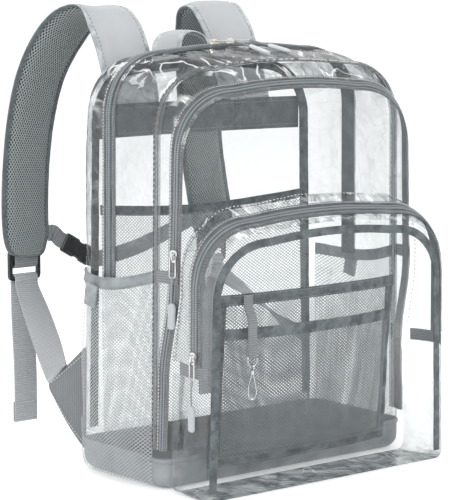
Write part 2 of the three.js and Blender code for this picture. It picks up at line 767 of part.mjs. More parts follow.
function addSidePockets() {
  for (const [name, side] of [['left', -1], ['right', 1]]) {
    const bindingLow = (share) => sideTop(share) - sideBindingHeight;
    add(`side_pocket_${name}`, sideSheet(side, () => trayEdge, (share) => bindingLow(share) - seamGap,
      meshWall, 6, sideOffset), looks.mesh);
    add(`side_binding_${name}`, sideSheet(side, bindingLow, sideTop, clothWall, 1, sideOffset), looks.cloth);
    const share = 0.33;
    const y = mix(sideFromY, sideToY, share);
    const z = sideTop(share) - sideBindingHeight + 4;
    const x = halfAt(mainArch(y), z) + sideOffset(share, z) + clothWall + seamGap + tabWall;
    const drops = [[0, 0], [0.5, -0.55], [0.2, -1]].map(([out, drop]) =>
      new THREE.Vector3(side * (x + out), y - drop * sideTabLength * 0.2, z + drop * sideTabLength));
    add(`side_tab_${name}`, strip(drops, new THREE.Vector3(0, 1, 0), sideTabWidth, meshWall * 2), looks.webbing);
  }
}

// Shoulder straps: a row for each section, as shares of the strap's own sizes
const strapRootX = 74;
const strapTop = 461;
const strapReach = 84;
const strapLean = 80;
const strapRows = {
  left: [
    { lean: 0, reach: 0, rise: 0.735, width: 0.94, pad: 0.4 },
    { lean: 0, reach: 0.005, rise: 0.765, width: 0.97, pad: 0.42 },
    { lean: 0.03, reach: 0.03, rise: 0.812, width: 1, pad: 0.75 },
    { lean: 0.08, reach: 0.08, rise: 0.877, width: 1, pad: 1 },
    { lean: 0.15, reach: 0.17, rise: 0.948, width: 1, pad: 1 },
    { lean: 0.22, reach: 0.32, rise: 0.99, width: 1, pad: 1 },
    { lean: 0.33, reach: 0.5, rise: 0.998, width: 1, pad: 1 },
    { lean: 0.5, reach: 0.68, rise: 0.972, width: 0.98, pad: 1 },
    { lean: 0.68, reach: 0.82, rise: 0.92, width: 0.95, pad: 1 },
    { lean: 0.83, reach: 0.92, rise: 0.85, width: 0.91, pad: 1 },
    { lean: 0.94, reach: 0.97, rise: 0.76, width: 0.89, pad: 1 },
    { lean: 1, reach: 1, rise: 0.66, width: 0.88, pad: 1 },
    { lean: 1.03, reach: 1, rise: 0.56, width: 0.88, pad: 1 },
    { lean: 1.02, reach: 0.99, rise: 0.49, width: 0.85, pad: 0.85 },
    { lean: 1, reach: 0.98, rise: 0.458, width: 0.66, pad: 0.6 },
    { lean: 1, reach: 0.975, rise: 0.448, width: 0.46, pad: 0.45 },
  ],
  right: [
    { lean: 0, reach: 0, rise: 0.735, width: 0.94, pad: 0.4 },
    { lean: 0, reach: 0.005, rise: 0.765, width: 0.97, pad: 0.42 },
    { lean: -0.03, reach: 0.03, rise: 0.812, width: 1, pad: 0.75 },
    { lean: -0.1, reach: 0.08, rise: 0.877, width: 1, pad: 1 },
    { lean: -0.18, reach: 0.17, rise: 0.952, width: 1, pad: 1 },
    { lean: -0.27, reach: 0.32, rise: 1, width: 1, pad: 1 },
    { lean: -0.29, reach: 0.48, rise: 1.006, width: 1, pad: 1 },
    { lean: -0.24, reach: 0.64, rise: 0.982, width: 0.98, pad: 1 },
    { lean: -0.18, reach: 0.77, rise: 0.93, width: 0.95, pad: 1 },
    { lean: -0.12, reach: 0.85, rise: 0.855, width: 0.91, pad: 1 },
    { lean: -0.08, reach: 0.88, rise: 0.76, width: 0.89, pad: 1 },
    { lean: -0.02, reach: 0.89, rise: 0.66, width: 0.88, pad: 1 },
    { lean: 0.08, reach: 0.89, rise: 0.56, width: 0.88, pad: 1 },
    { lean: 0.16, reach: 0.885, rise: 0.49, width: 0.85, pad: 0.85 },
    { lean: 0.2, reach: 0.88, rise: 0.458, width: 0.66, pad: 0.6 },
    { lean: 0.215, reach: 0.875, rise: 0.448, width: 0.46, pad: 0.45 },
  ],
};
const lockWidth = webWidth + 11;
const lockHeight = 34;
const barSize = 3.8;
const lockRim = 4.2;
const lockDrop = 8;

// The root lies on the strap band, at the slope that the band has there
const bandFace = (x, z) => backFace(x, z) + clearWall + faceGap + clothWall;
const rootHalf = strapWidth * 0.47;
const rootZ = strapRows.left[0].rise * strapTop;
const rootSlope = (bandFace(strapRootX + rootHalf, rootZ) - bandFace(strapRootX - rootHalf, rootZ))
  / (2 * rootHalf);
const strapRootY = bandFace(strapRootX, rootZ) + strapPad * strapRows.left[0].pad / 2 + seatGap;

function strapPoint(side, row) {
  return new THREE.Vector3(side * (strapRootX + row.lean * strapLean),
    strapRootY + row.reach * strapReach, row.rise * strapTop);
}

function addStrap(name, side) {
  const rows = strapRows[name];
  const path = rows.map((row) => strapPoint(side, row));
  const acrossX = new THREE.Vector3(1, 0, 0);
  const onBand = new THREE.Vector3(1, side * rootSlope, 0);
  const pad = strip(path, rows.map((row) => (row.pad < 0.5 && row.reach < 0.1 ? onBand : acrossX)),
    rows.map((row) => row.width * strapWidth), rows.map((row) => row.pad * strapPad));
  const end = path[path.length - 1];
  const lockY = end.y + strapPad * 0.5 + 3;
  const lockTop = end.z + lockDrop;
  const barTop = lockTop - lockRim / 2;
  const wrap = barSize / 2 + 1.6 + webWall / 2;
  const at = (dy, dz) => new THREE.Vector3(end.x, lockY + dy, barTop + dz);
  const tongue = strip([new THREE.Vector3(end.x, end.y + 1.5, end.z + 22), at(-wrap - 1, 12), at(-wrap, 5),
    at(-wrap, 0), at(-wrap * 0.7, -wrap * 0.7), at(0, -wrap), at(wrap * 0.7, -wrap * 0.7), at(wrap, 0),
    at(wrap, 5), at(wrap * 0.4, 14), new THREE.Vector3(end.x, end.y + 2.5, end.z + 30)], acrossX,
  webWidth, webWall, 0.6);
  add(`shoulder_strap_${name}`, joined(pad, tongue), looks.strap);
  addLock(name, end.x, lockY, lockTop);
  addLowerWebbing(name, side, end.x, lockY, lockTop - lockHeight + lockRim / 2);
}

function addLock(name, x, y, top) {
  const outline = (halfX, low, high, radius) => {
    const shape = new THREE.Path();
    shape.moveTo(-halfX + radius, low);
    shape.lineTo(halfX - radius, low);
    shape.quadraticCurveTo(halfX, low, halfX, low + radius);
    shape.lineTo(halfX, high - radius);
    shape.quadraticCurveTo(halfX, high, halfX - radius, high);
    shape.lineTo(-halfX + radius, high);
    shape.quadraticCurveTo(-halfX, high, -halfX, high - radius);
    shape.lineTo(-halfX, low + radius);
    shape.quadraticCurveTo(-halfX, low, -halfX + radius, low);
    return shape.getPoints(2);
  };
  const slotHalf = webWidth / 2 + 1.5;
  const rim = lockRim;
  const middle = -lockHeight * 0.46;
  const frame = new THREE.Shape(outline(lockWidth / 2, -lockHeight, 0, 5));
  frame.holes.push(new THREE.Path(outline(slotHalf, middle + barSize / 2, -rim, 1)));
  frame.holes.push(new THREE.Path(outline(slotHalf, -lockHeight + rim, middle - barSize / 2, 1)));
  const geometry = new THREE.ExtrudeGeometry(frame, { depth: barSize, bevelEnabled: false });
  geometry.rotateX(Math.PI / 2);
  geometry.translate(x, y + barSize / 2, top);
  add(`ladder_lock_${name}`, geometry, looks.plastic);
}

// The webbing from the corner tab, round the lower bar of the lock, to its free end
const tabReach = 39;
const tabTurn = 0.87;
const tabTop = 124;
const tabLow = 17;
const tabApex = 83;
const freeEndZ = 30;

function addLowerWebbing(name, side, x, lockY, barZ) {
  const up = new THREE.Vector3(0, 0, 1);
  const arch = mainArch(backY);
  const outward = new THREE.Vector3(side * Math.cos(tabTurn), Math.sin(tabTurn), 0);
  const normal = new THREE.Vector3().crossVectors(outward, up).normalize();
  const rootY = backY + seatGap + tabWall / 2 * Math.cos(tabTurn);
  const onTab = (out, z) => new THREE.Vector3(side * (halfAt(arch, z) - 1), rootY, z)
    .addScaledVector(outward, out);
  const slope = new THREE.Vector3().subVectors(onTab(tabReach, tabApex), onTab(0, tabTop));
  const edge = slope.clone().normalize();
  const away = new THREE.Vector3().crossVectors(edge, normal).normalize();
  away.multiplyScalar(Math.sign(away.z));
  const wrap = barSize / 2 + 1.6 + webWall / 2;
  const start = onTab(tabReach, tabApex).addScaledVector(edge, -webWidth / 2 - 1)
    .addScaledVector(away, seatGap);
  const bar = (dy, dz) => new THREE.Vector3(x, lockY + dy, barZ + dz);
  const approach = bar(-wrap, -3);
  const between = (share, sag) => start.clone().lerp(approach, share).add(new THREE.Vector3(0, 0, -sag));
  const path = [start, start.clone().addScaledVector(away, 3), between(0.3, 3), between(0.65, 3),
    bar(-wrap - 1.2, -9), bar(-wrap, 0),
    bar(-wrap * 0.7, wrap * 0.7), bar(0, wrap), bar(wrap * 0.7, wrap * 0.7), bar(wrap, 0), bar(wrap, -8),
    new THREE.Vector3(x, lockY + wrap - 1, mix(barZ, freeEndZ, 0.3)),
    new THREE.Vector3(x - side * 1, lockY + wrap - 3, mix(barZ, freeEndZ, 0.65)),
    new THREE.Vector3(x - side * 1, lockY + wrap - 3, freeEndZ)];
  const run = new THREE.Vector3(1, 0, 0);
  const turned = edge.clone().multiplyScalar(side);
  const across = path.map((_, i) => turned.clone().lerp(run, Math.min(1, Math.max(0, (i - 1) / 3))));
  const bothFaces = [7]; // the back of the twisted tape folds along the same lines as its front
  add(`webbing_${name}`, strip(path, across, webWidth, webWall, 0.6, bothFaces), looks.webbing);

  const corners = [[0, tabLow], [0, mix(tabLow, tabTop, 0.5)], [0, tabTop], [tabReach, tabApex],
    [tabReach - 1, tabApex - 5], [tabReach * 0.62, mix(tabLow, tabApex, 0.44)]];
  const ring = (offset) => corners.map(([out, z]) => onTab(out, z).addScaledVector(normal, offset));
  add(`corner_tab_${name}`, loft([ring(-tabWall / 2), ring(tabWall / 2)]), looks.cloth);
}

// Grab handle: its ends are sewn flat to the back and it twists over the top
const handleRows = [
  { along: -1, off: 0, rise: 0.932, turn: 0 },
  { along: -1.02, off: 3, rise: 0.958, turn: 0.06 },
  { along: -0.93, off: 8, rise: 0.992, turn: 0.4 },
  { along: -0.58, off: 15, rise: 1.018, turn: 0.74 },
  { along: 0, off: 18, rise: 1.028, turn: 0.96 },
];

function addHandle() {
  const rows = [...handleRows, ...handleRows.slice(0, -1).reverse().map((row) => ({
    ...row, along: -row.along, turn: -row.turn }))];
  const path = rows.map((row) => {
    const x = handleX + row.along * handleSpan / 2;
    const z = row.rise * bagHeight;
    return new THREE.Vector3(x, backFace(x, Math.min(z, bagHeight)) + clearWall + handleWall / 2 + seamGap
      + row.off, z);
  });
  const across = rows.map((row, i) => {
    const turn = (i < handleRows.length ? row.turn : 2 + row.turn) * Math.PI / 2;
    return new THREE.Vector3(Math.cos(turn), -Math.sin(turn), 0);
  });
  add('grab_handle', strip(path, across, handleWidth, handleWall), looks.strap);
}

// Chest strap, fastened: a webbing from each shoulder strap into a side-release buckle
const chestLength = 40;
const chestThick = 7;
const chestGap = 0.6;

function addChestStrap() {
  const edgeAtRise = (name, rise) => {
    const rows = strapRows[name];
    const next = rows.findIndex((row, i) => i > 7 && row.rise <= rise);
    const [a, b] = [rows[next - 1], rows[next]];
    const share = (a.rise - rise) / (a.rise - b.rise);
    const side = name === 'left' ? -1 : 1;
    const onEdge = (row) => strapPoint(side, row)
      .add(new THREE.Vector3(-side * row.width * strapWidth / 2, 0, 0));
    const slope = new THREE.Vector3().subVectors(onEdge(a), onEdge(b)).normalize();
    const inward = new THREE.Vector3(-side * slope.z, 0, side * slope.x).normalize();
    return { inward, point: onEdge(a).lerp(onEdge(b), share).addScaledVector(inward, 2 * chestGap) };
  };
  const { point: left, inward: leftInward } = edgeAtRise('left', 0.495);
  const { point: right, inward: rightInward } = edgeAtRise('right', 0.5);
  const up = new THREE.Vector3(0, 0, 1);
  const from = new THREE.Vector3(left.x + 18, left.y, left.z - 10);
  const to = new THREE.Vector3(from.x + chestLength * 0.87, from.y, from.z - chestLength * 0.5);
  const lean = new THREE.Vector3().subVectors(to, from).normalize();
  const across = new THREE.Vector3(-lean.z, 0, lean.x).negate();
  add('chest_webbing_left', strip([left, left.clone().addScaledVector(leftInward, 5),
    from.clone().addScaledVector(lean, -6), from.clone().addScaledVector(lean, -chestGap)],
  [up, up, across, across], chestWidth, webWall, 0.6), looks.webbing);
  const sections = [[0, 0.8, 0.5], [0.06, 1, 0.9], [0.4, 1, 1], [0.5, 0.84, 1], [0.62, 0.86, 1], [0.72, 1, 1],
    [0.94, 1, 0.9], [1, 0.8, 0.5]];
  add('chest_buckle', strip(sections.map(([share]) => from.clone().lerp(to, share)), across,
    sections.map(([, wide]) => wide * (chestWidth + 5)), sections.map(([, , deep]) => deep * chestThick)),
  looks.plastic);
  const begin = to.clone().addScaledVector(lean, chestGap);
  const sag = (share, drop) => begin.clone().lerp(right, share).add(new THREE.Vector3(0, 0, -drop));
  add('chest_webbing_right', strip([begin, begin.clone().addScaledVector(lean, 5), sag(0.14, 5),
    sag(0.3, 7), sag(0.5, 7), sag(0.75, 4), right.clone().addScaledVector(rightInward, 6), right],
  [across, across, across, up, up, up, up, up], chestWidth, webWall, 0.6), looks.webbing);
}

// Zip sliders with a metal pull, a cord and a moulded tip; in its own frame the tape runs along Y
const sliderLength = 12;
const sliderWidth = 8;
const sliderThick = 4;
const pullFrame = 22;
const pullWidth = 8;
const pullCord = 24;
const pullTip = 25;
const tipWidth = 8;
const tipThick = 4;
const pullWire = 1.4;
const bridgeWidth = 1.8;
const pullPlate = 1.1;
const tunnelLow = sliderThick * 0.5;
const tunnelHigh = tunnelLow + pullPlate + 2 * seatGap;
const pullStand = (tunnelLow + tunnelHigh) / 2;

function sliderGeometry() {
  const wide = sliderWidth / 2;
  const long = sliderLength / 2;
  const base = tunnelLow;
  const shape = new THREE.Shape([[-0.55, -1], [0.55, -1], [1, 0], [1, 0.7], [0.5, 1], [-0.5, 1], [-1, 0.7],
    [-1, 0]].map(([x, y]) => new THREE.Vector2(x * wide, y * long)));
  const body = new THREE.ExtrudeGeometry(shape, { depth: base, bevelEnabled: false });
  const arch = new THREE.Shape([[-0.75, base * 0.5], [-0.5, tunnelHigh + 1.2], [0.5, tunnelHigh + 1.2],
    [0.75, base * 0.5], [0.5, base * 0.5], [0.42, tunnelHigh], [-0.42, tunnelHigh],
    [-0.5, base * 0.5]].map(([y, z]) => new THREE.Vector2(y * long, z)));
  const bridge = new THREE.ExtrudeGeometry(arch, { depth: bridgeWidth, bevelEnabled: false });
  bridge.applyMatrix4(new THREE.Matrix4().makeBasis(new THREE.Vector3(0, 1, 0), new THREE.Vector3(0, 0, 1),
    new THREE.Vector3(1, 0, 0)));
  bridge.translate(-bridgeWidth / 2, 0, 0);
  return joined(body, bridge);
}

// A pull along a path of four places: its eye, the ends of the frame and the cord, and the tip
function pullGeometry(path, normal) {
  const along = new THREE.Vector3().subVectors(path[1], path[0]).normalize();
  const across = new THREE.Vector3().crossVectors(along, normal).normalize();
  const out = new THREE.Vector3().crossVectors(across, along);
  const ring = (wide, low, high, cut) => [[-wide + cut, low], [wide - cut, low], [wide, low + cut],
    [wide, high - cut], [wide - cut, high], [-wide + cut, high], [-wide, high - cut], [-wide, low + cut]]
    .map(([x, y]) => new THREE.Vector2(x, y));
  const shape = new THREE.Shape(ring(pullWidth / 2, 0, pullFrame, 1.6));
  shape.holes.push(new THREE.Path(ring(pullWidth / 2 - pullWire, pullWire, pullFrame - pullWire, 0.8)));
  const frame = new THREE.ExtrudeGeometry(shape, { depth: pullPlate, bevelEnabled: false });
  frame.translate(0, 0, -pullPlate / 2);
  frame.applyMatrix4(new THREE.Matrix4().makeBasis(across, along, out).setPosition(path[0]));
  const cordStart = path[1].clone().addScaledVector(along, -1.6);
  const cord = strip([cordStart, path[1].clone().lerp(path[2], 0.5), path[2].clone().lerp(path[3], 0.1)],
    across, 3.2, 2.4, 0.6);
  const onTip = (share) => path[2].clone().lerp(path[3], share);
  const tip = strip([path[2], onTip(0.2), onTip(0.9), path[3]], across,
    [tipWidth * 0.7, tipWidth, tipWidth * 0.95, tipWidth * 0.6],
    [tipThick * 0.7, tipThick, tipThick * 0.9, tipThick * 0.65]);
  return joined(frame, cord, tip);
}

// A slider on the side of the shell, with its pull hanging straight down
function addSideSlider(name, archAt, y, z, side) {
  const slider = sliderGeometry();
  const up = new THREE.Vector3(0, 0, 1);
  const surface = (height) => halfAt(archAt(y), height);
  const slope = (halfAt(archAt(y + half / 2), z) - halfAt(archAt(y - half / 2), z)) / half;
  const normal = new THREE.Vector3(side, -slope, 0).normalize();
  const lifted = (height, lift) => new THREE.Vector3(side * Math.max(surface(z), surface(height)), y, height)
    .addScaledVector(normal, lift);
  slider.applyMatrix4(new THREE.Matrix4().makeBasis(new THREE.Vector3().crossVectors(up, normal), up, normal)
    .setPosition(lifted(z, coilLift + seatGap)));
  add(`slider_${name}`, slider, looks.metal);
  const eye = z + pullWire / 2;
  const hang = (drop) => lifted(eye - drop, coilLift + seatGap + pullStand);
  const lengths = [0, pullFrame, pullFrame + pullCord, pullFrame + pullCord + pullTip];
  add(`pull_${name}`, pullGeometry(lengths.map(hang), normal), looks.metal);
}

// A slider on the top of the main zip; its pull lies along the tape and its cord turns to the front
function addTopSlider(name, x, heading, tail) {
  const slider = sliderGeometry();
  const normal = new THREE.Vector3(0, 0, 1);
  const topAt = (px, py) => {
    const arch = mainArch(py);
    return arch.top - crown * Math.pow(px / (arch.half - cornerRadius), 2);
  };
  const run = new THREE.Vector3(-Math.sign(heading[0]), 0, 0);
  const sideways = new THREE.Vector3().crossVectors(run, normal);
  slider.applyMatrix4(new THREE.Matrix4().makeBasis(sideways, run, normal)
    .setPosition(x, mainZipY, topAt(x, mainZipY) + coilLift + seatGap));
  add(`slider_${name}`, slider, looks.metal);
  const level = topAt(x, mainZipY) + coilLift + seatGap + pullStand;
  const lie = (length) => {
    const rigid = Math.min(length, pullFrame) - pullWire / 2;
    const loose = Math.max(0, length - pullFrame);
    const px = x + heading[0] * rigid + tail[0] * loose;
    const py = mainZipY + heading[1] * rigid + tail[1] * loose;
    return new THREE.Vector3(px, py, loose ? topAt(px, py) + tipThick / 2 + 3 * seamGap : level);
  };
  const lengths = [0, pullFrame, pullFrame + pullCord, pullFrame + pullCord + pullTip];
  add(`pull_${name}`, pullGeometry(lengths.map(lie), normal), looks.metal);
}

addMainCompartment();
addBackFittings();
addMiddleCompartment();
addFrontPocket();
addOrganizer();
addKeyClip();
addSidePockets();
addStrap('left', -1);
addStrap('right', 1);
addHandle();
addChestStrap();
addSideSlider('middle', mainArch, (middleZipY + half * 0.8 + middleY + 1.5) / 2, 232, -1);
addSideSlider('front', pocketArch, pocketZipY, tabBottom + tabHeight + 8, -1);
addTopSlider('main_left', -27, [0.88, -0.47], [0.1, -0.99]);
addTopSlider('main_right', -6, [0.93, -0.37], [0.3, -0.95]);

export default bag;
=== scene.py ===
# Clear stadium backpack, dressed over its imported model: clear PVC, net, webbing, zips and straps.
# Sizes in this script are millimetres until a mesh is made; +Z is up and the front faces -Y.
import math

import bpy
import numpy as np
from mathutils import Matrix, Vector


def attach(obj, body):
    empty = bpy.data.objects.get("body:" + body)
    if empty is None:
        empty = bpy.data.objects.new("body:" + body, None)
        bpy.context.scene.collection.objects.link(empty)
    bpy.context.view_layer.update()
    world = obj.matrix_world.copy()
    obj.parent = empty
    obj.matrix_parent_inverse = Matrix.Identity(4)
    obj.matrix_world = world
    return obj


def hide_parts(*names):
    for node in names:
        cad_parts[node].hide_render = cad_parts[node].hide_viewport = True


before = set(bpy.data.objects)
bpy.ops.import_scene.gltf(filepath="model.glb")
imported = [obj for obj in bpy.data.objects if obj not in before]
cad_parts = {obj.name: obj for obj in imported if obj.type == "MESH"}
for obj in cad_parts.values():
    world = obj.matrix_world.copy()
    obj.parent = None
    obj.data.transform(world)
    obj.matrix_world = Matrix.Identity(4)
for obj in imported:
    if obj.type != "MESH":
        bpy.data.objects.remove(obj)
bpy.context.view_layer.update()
scene = bpy.context.scene
print("frame loaded:", len(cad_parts), "nodes")

# Camera, floor and light
view = {
    "azimuth": 39.27,  # degrees from the bag's front towards its left side
    "elevation": 7.5,
    "distance": 2.18305,
    "lookAt": (-0.04979, 0.0015, 0.22428),
    "focalPixels": 2175.3,
    "frameHeight": 500,
}


def addCamera(v):
    turn, tilt = math.radians(v["azimuth"]), math.radians(v["elevation"])
    forward = Vector((math.cos(tilt) * math.sin(turn), math.cos(tilt) * math.cos(turn), -math.sin(tilt)))
    lens = bpy.data.cameras.new("photo_camera")
    lens.sensor_fit = "VERTICAL"
    lens.sensor_height = 36
    lens.lens = v["focalPixels"] * 36 / v["frameHeight"]
    camera = bpy.data.objects.new("photo_camera", lens)
    camera.location = Vector(v["lookAt"]) - forward * v["distance"]
    camera.rotation_euler = forward.to_track_quat("-Z", "Y").to_euler()
    scene.collection.objects.link(camera)
    scene.camera = camera


addCamera(view)


def linear(hexColour, alpha=1.0):
    values = [int(hexColour[i:i + 2], 16) / 255 for i in (1, 3, 5)]
    return tuple(c / 12.92 if c <= 0.04045 else ((c + 0.055) / 1.055) ** 2.4 for c in values) + (alpha,)


def addNode(tree, kind, inputs=None, **settings):
    made = tree.nodes.new(kind)
    for key, value in settings.items():
        setattr(made, key, value)
    for key, value in (inputs or {}).items():
        if isinstance(value, bpy.types.NodeSocket):
            tree.links.new(value, made.inputs[key])
        else:
            made.inputs[key].default_value = value
    return made


def newMaterial(name):
    material = bpy.data.materials.new(name)
    material.use_nodes = True
    tree = material.node_tree
    tree.nodes.clear()
    return material, tree


def output(tree, shader):
    addNode(tree, "ShaderNodeOutputMaterial", {"Surface": shader})


studio = {
    "floorColour": "#f4f4f4",
    "floorGlow": 0.26,
    "skyAbove": 0.8,
    "skyLow": 1.0,
    "softboxes": [  # place, size, watts
        ((-1.9, -1.3, 1.5), (1.1, 1.5), 20),
        ((1.6, -1.2, 1.7), (0.5, 1.6), 11),
        ((-0.3, 1.7, 1.9), (1.6, 0.5), 15),
    ],
}


def addStudio(s):
    material, tree = newMaterial("Floor, matt white sheet")
    base = addNode(tree, "ShaderNodeBsdfPrincipled", {
        "Base Color": linear(s["floorColour"]), "Roughness": 0.9, "Specular IOR Level": 0.1,
        "Emission Color": (1, 1, 1, 1), "Emission Strength": s["floorGlow"]})
    output(tree, base.outputs[0])
    mesh = bpy.data.meshes.new("floor")
    mesh.from_pydata([(-90, -90, 0), (90, -90, 0), (90, 90, 0), (-90, 90, 0)], [], [(0, 1, 2, 3)])
    mesh.materials.append(material)
    floor = bpy.data.objects.new("floor", mesh)
    scene.collection.objects.link(floor)
    world = bpy.data.worlds.new("studio")
    scene.world = world
    world.use_nodes = True
    sky = world.node_tree
    sky.nodes.clear()
    place = addNode(sky, "ShaderNodeTexCoord")
    height = addNode(sky, "ShaderNodeSeparateXYZ", {0: place.outputs["Generated"]})
    fade = addNode(sky, "ShaderNodeMapRange", {
        "Value": height.outputs[2], "From Min": 0, "From Max": 0.9, "To Min": s["skyLow"],
        "To Max": s["skyAbove"]})
    seen = addNode(sky, "ShaderNodeLightPath")
    strength = addNode(sky, "ShaderNodeMix", {
        "Factor": seen.outputs["Is Camera Ray"], 2: fade.outputs[0], 3: 1.0}, data_type="FLOAT")
    glow = addNode(sky, "ShaderNodeBackground", {"Color": (1, 1, 1, 1), "Strength": strength.outputs[0]})
    addNode(sky, "ShaderNodeOutputWorld", {"Surface": glow.outputs[0]})
    for i, (place, size, watts) in enumerate(s["softboxes"]):
        lamp = bpy.data.lights.new(f"softbox_{i}", "AREA")
        lamp.shape = "RECTANGLE"
        lamp.size, lamp.size_y = size
        lamp.energy = watts
        box = bpy.data.objects.new(f"softbox_{i}", lamp)
        box.location = place
        box.rotation_euler = (Vector((0, 0, 0.22)) - Vector(place)).to_track_quat("-Z", "Y").to_euler()
        scene.collection.objects.link(box)
    scene.view_settings.view_transform = "Standard"
    scene.cycles.transparent_max_bounces = 48


addStudio(studio)
print("camera, floor and lights made")

# Materials. UVs are in metres, so a pattern's spacing is its real one.


def uvParts(tree):
    place = addNode(tree, "ShaderNodeUVMap")
    parts = addNode(tree, "ShaderNodeSeparateXYZ", {0: place.outputs[0]})
    return place.outputs[0], parts.outputs[0], parts.outputs[1]


def threads(tree, along, spacing, shift=0.0):
    # A sine along one direction, one wave for each spacing in millimetres
    turn = addNode(tree, "ShaderNodeMath", {0: along, 1: 2000 * math.pi / spacing, 2: shift},
                   operation="MULTIPLY_ADD")
    return addNode(tree, "ShaderNodeMath", {0: turn.outputs[0]}, operation="SINE").outputs[0]


def combine(tree, operation, a, b, clamp=False):
    return addNode(tree, "ShaderNodeMath", {0: a, 1: b}, operation=operation, use_clamp=clamp).outputs[0]


def tinted(tree, factor, low, high):
    mixed = addNode(tree, "ShaderNodeMix", {"Factor": factor, 6: low, 7: high}, data_type="RGBA")
    return mixed.outputs[2]


def bumped(tree, height, strength, distance):
    return addNode(tree, "ShaderNodeBump", {
        "Height": height, "Strength": strength, "Distance": distance}).outputs[0]


def cloudy(tree, place, scale, detail=3.0):
    return addNode(tree, "ShaderNodeTexNoise", {
        "Vector": place, "Scale": scale, "Detail": detail, "Roughness": 0.6}).outputs[0]


def woven(name, light, dark, thread, rough, blotch=60, contrast=1.0, sheen=0.0):
    material, tree = newMaterial(name)
    place, across, along = uvParts(tree)
    solid = addNode(tree, "ShaderNodeTexCoord").outputs["Object"]
    weave = combine(tree, "MULTIPLY", threads(tree, across, thread), threads(tree, along, thread, 0.7))
    cloud = cloudy(tree, solid, blotch)
    spread = addNode(tree, "ShaderNodeMapRange", {
        "Value": cloud, "From Min": 0.5 - 0.2 / contrast, "From Max": 0.5 + 0.2 / contrast}).outputs[0]
    # The weave term puts painted shade between the threads; the cloud gives a random tone
    shade = addNode(tree, "ShaderNodeMath", {0: weave, 1: 0.16, 2: spread}, operation="MULTIPLY_ADD",
                    use_clamp=True).outputs[0]
    cloth = addNode(tree, "ShaderNodeBsdfPrincipled", {
        "Base Color": tinted(tree, shade, linear(dark), linear(light)), "Roughness": rough,
        "Specular IOR Level": 0.3, "Sheen Weight": sheen, "Sheen Roughness": 0.5,
        "Normal": bumped(tree, weave, 0.35, 0.0004)})
    output(tree, cloth.outputs[0])
    return material


def ridges(tree, place, scale, low, high, offset):
    # Thin wandering lines, 0 to 1, where a cloud crosses its middle value
    moved = addNode(tree, "ShaderNodeMapping", {"Vector": place, "Location": (offset, 0.3, offset),
                                                "Scale": (1, 0.55, 1)})
    cloud = addNode(tree, "ShaderNodeTexNoise", {
        "Vector": moved.outputs[0], "Scale": scale, "Detail": 2.5, "Roughness": 0.45,
        "Distortion": 1.1}).outputs[0]
    off = combine(tree, "ABSOLUTE", combine(tree, "SUBTRACT", cloud, 0.5), 0.0)
    return addNode(tree, "ShaderNodeMapRange", {
        "Value": off, "From Min": low, "From Max": high, "To Min": 1.0, "To Max": 0.0}).outputs[0]


def clearPvc(name, tint, edge, gloss=0.03, haze=0.0, bump=0.25, crease=0.0, turn=2.6, paintedHighlight=0.0):
    # Calendered PVC: nearly invisible face on, grey and mirror-like where it turns away. Creases carry painted shade
    # and painted white highlight streaks.
    material, tree = newMaterial(name)
    solid = addNode(tree, "ShaderNodeTexCoord").outputs["Object"]
    dents = cloudy(tree, solid, 38, 2.0)
    normal = bumped(tree, dents, bump, 0.004)
    facing = addNode(tree, "ShaderNodeLayerWeight", {"Blend": 0.5, "Normal": normal}).outputs["Facing"]
    turned = combine(tree, "POWER", facing, turn)
    upright = addNode(tree, "ShaderNodeSeparateXYZ", {
        0: addNode(tree, "ShaderNodeTexCoord").outputs["Normal"]}).outputs[2]
    # bent: low on upright faces, 1 where the sheet faces up or down over the arch; it keeps the painted crease shade
    # and painted highlights there
    bent = addNode(tree, "ShaderNodeMapRange", {
        "Value": combine(tree, "ABSOLUTE", upright, 0.0), "From Min": 0.08, "From Max": 0.55, "To Min": 0.12,
        "To Max": 1.0}).outputs[0]
    # Painted crease shade: noise lines and blotches darken the see-through tint
    blotches = addNode(tree, "ShaderNodeMapRange", {
        "Value": cloudy(tree, solid, 42, 2.0), "From Min": 0.42, "From Max": 0.6}).outputs[0]
    lines = combine(tree, "MULTIPLY", ridges(tree, solid, 30, 0.0, 0.05, 1.7), 0.6)
    creaseShadeMarks = combine(tree, "ADD", lines, combine(tree, "MULTIPLY", blotches, 0.5))
    paintedCreaseShade = combine(tree, "MULTIPLY", creaseShadeMarks, bent)
    shade = addNode(tree, "ShaderNodeMath", {0: paintedCreaseShade, 1: crease, 2: turned}, operation="MULTIPLY_ADD",
                    use_clamp=True).outputs[0]
    through = addNode(tree, "ShaderNodeBsdfTransparent", {
        "Color": tinted(tree, shade, linear(tint), linear(edge))})
    shine = addNode(tree, "ShaderNodeBsdfGlossy", {
        "Color": (1, 1, 1, 1), "Roughness": 0.045, "Normal": normal})
    steep = combine(tree, "POWER", facing, 5.0)
    share = addNode(tree, "ShaderNodeMath", {0: steep, 1: 0.8, 2: gloss},
                    operation="MULTIPLY_ADD", use_clamp=True).outputs[0]
    sheet = addNode(tree, "ShaderNodeMixShader", {0: share, 1: through.outputs[0], 2: shine.outputs[0]})
    # Painted highlights: thin noise ridges in patches mix in white diffuse as highlight streaks; haze adds an even
    # whitening
    hazeAndHighlightDiffuse = addNode(tree, "ShaderNodeBsdfDiffuse", {"Color": linear("#fbfcfc"), "Normal": normal})
    glints = ridges(tree, solid, 24, 0.0, 0.03, 5.3)
    patches = addNode(tree, "ShaderNodeMapRange", {
        "Value": cloudy(tree, solid, 15, 1.0), "From Min": 0.46, "From Max": 0.6}).outputs[0]
    paintedHighlightStreaks = combine(tree, "MULTIPLY", combine(tree, "MULTIPLY", glints, patches),
                      combine(tree, "MULTIPLY", bent, paintedHighlight))
    white = combine(tree, "ADD", paintedHighlightStreaks, haze, True)
    hazeAndHighlights = addNode(tree, "ShaderNodeMixShader", {0: white, 1: sheet.outputs[0], 2: hazeAndHighlightDiffuse.outputs[0]})
    output(tree, hazeAndHighlights.outputs[0])
    return material


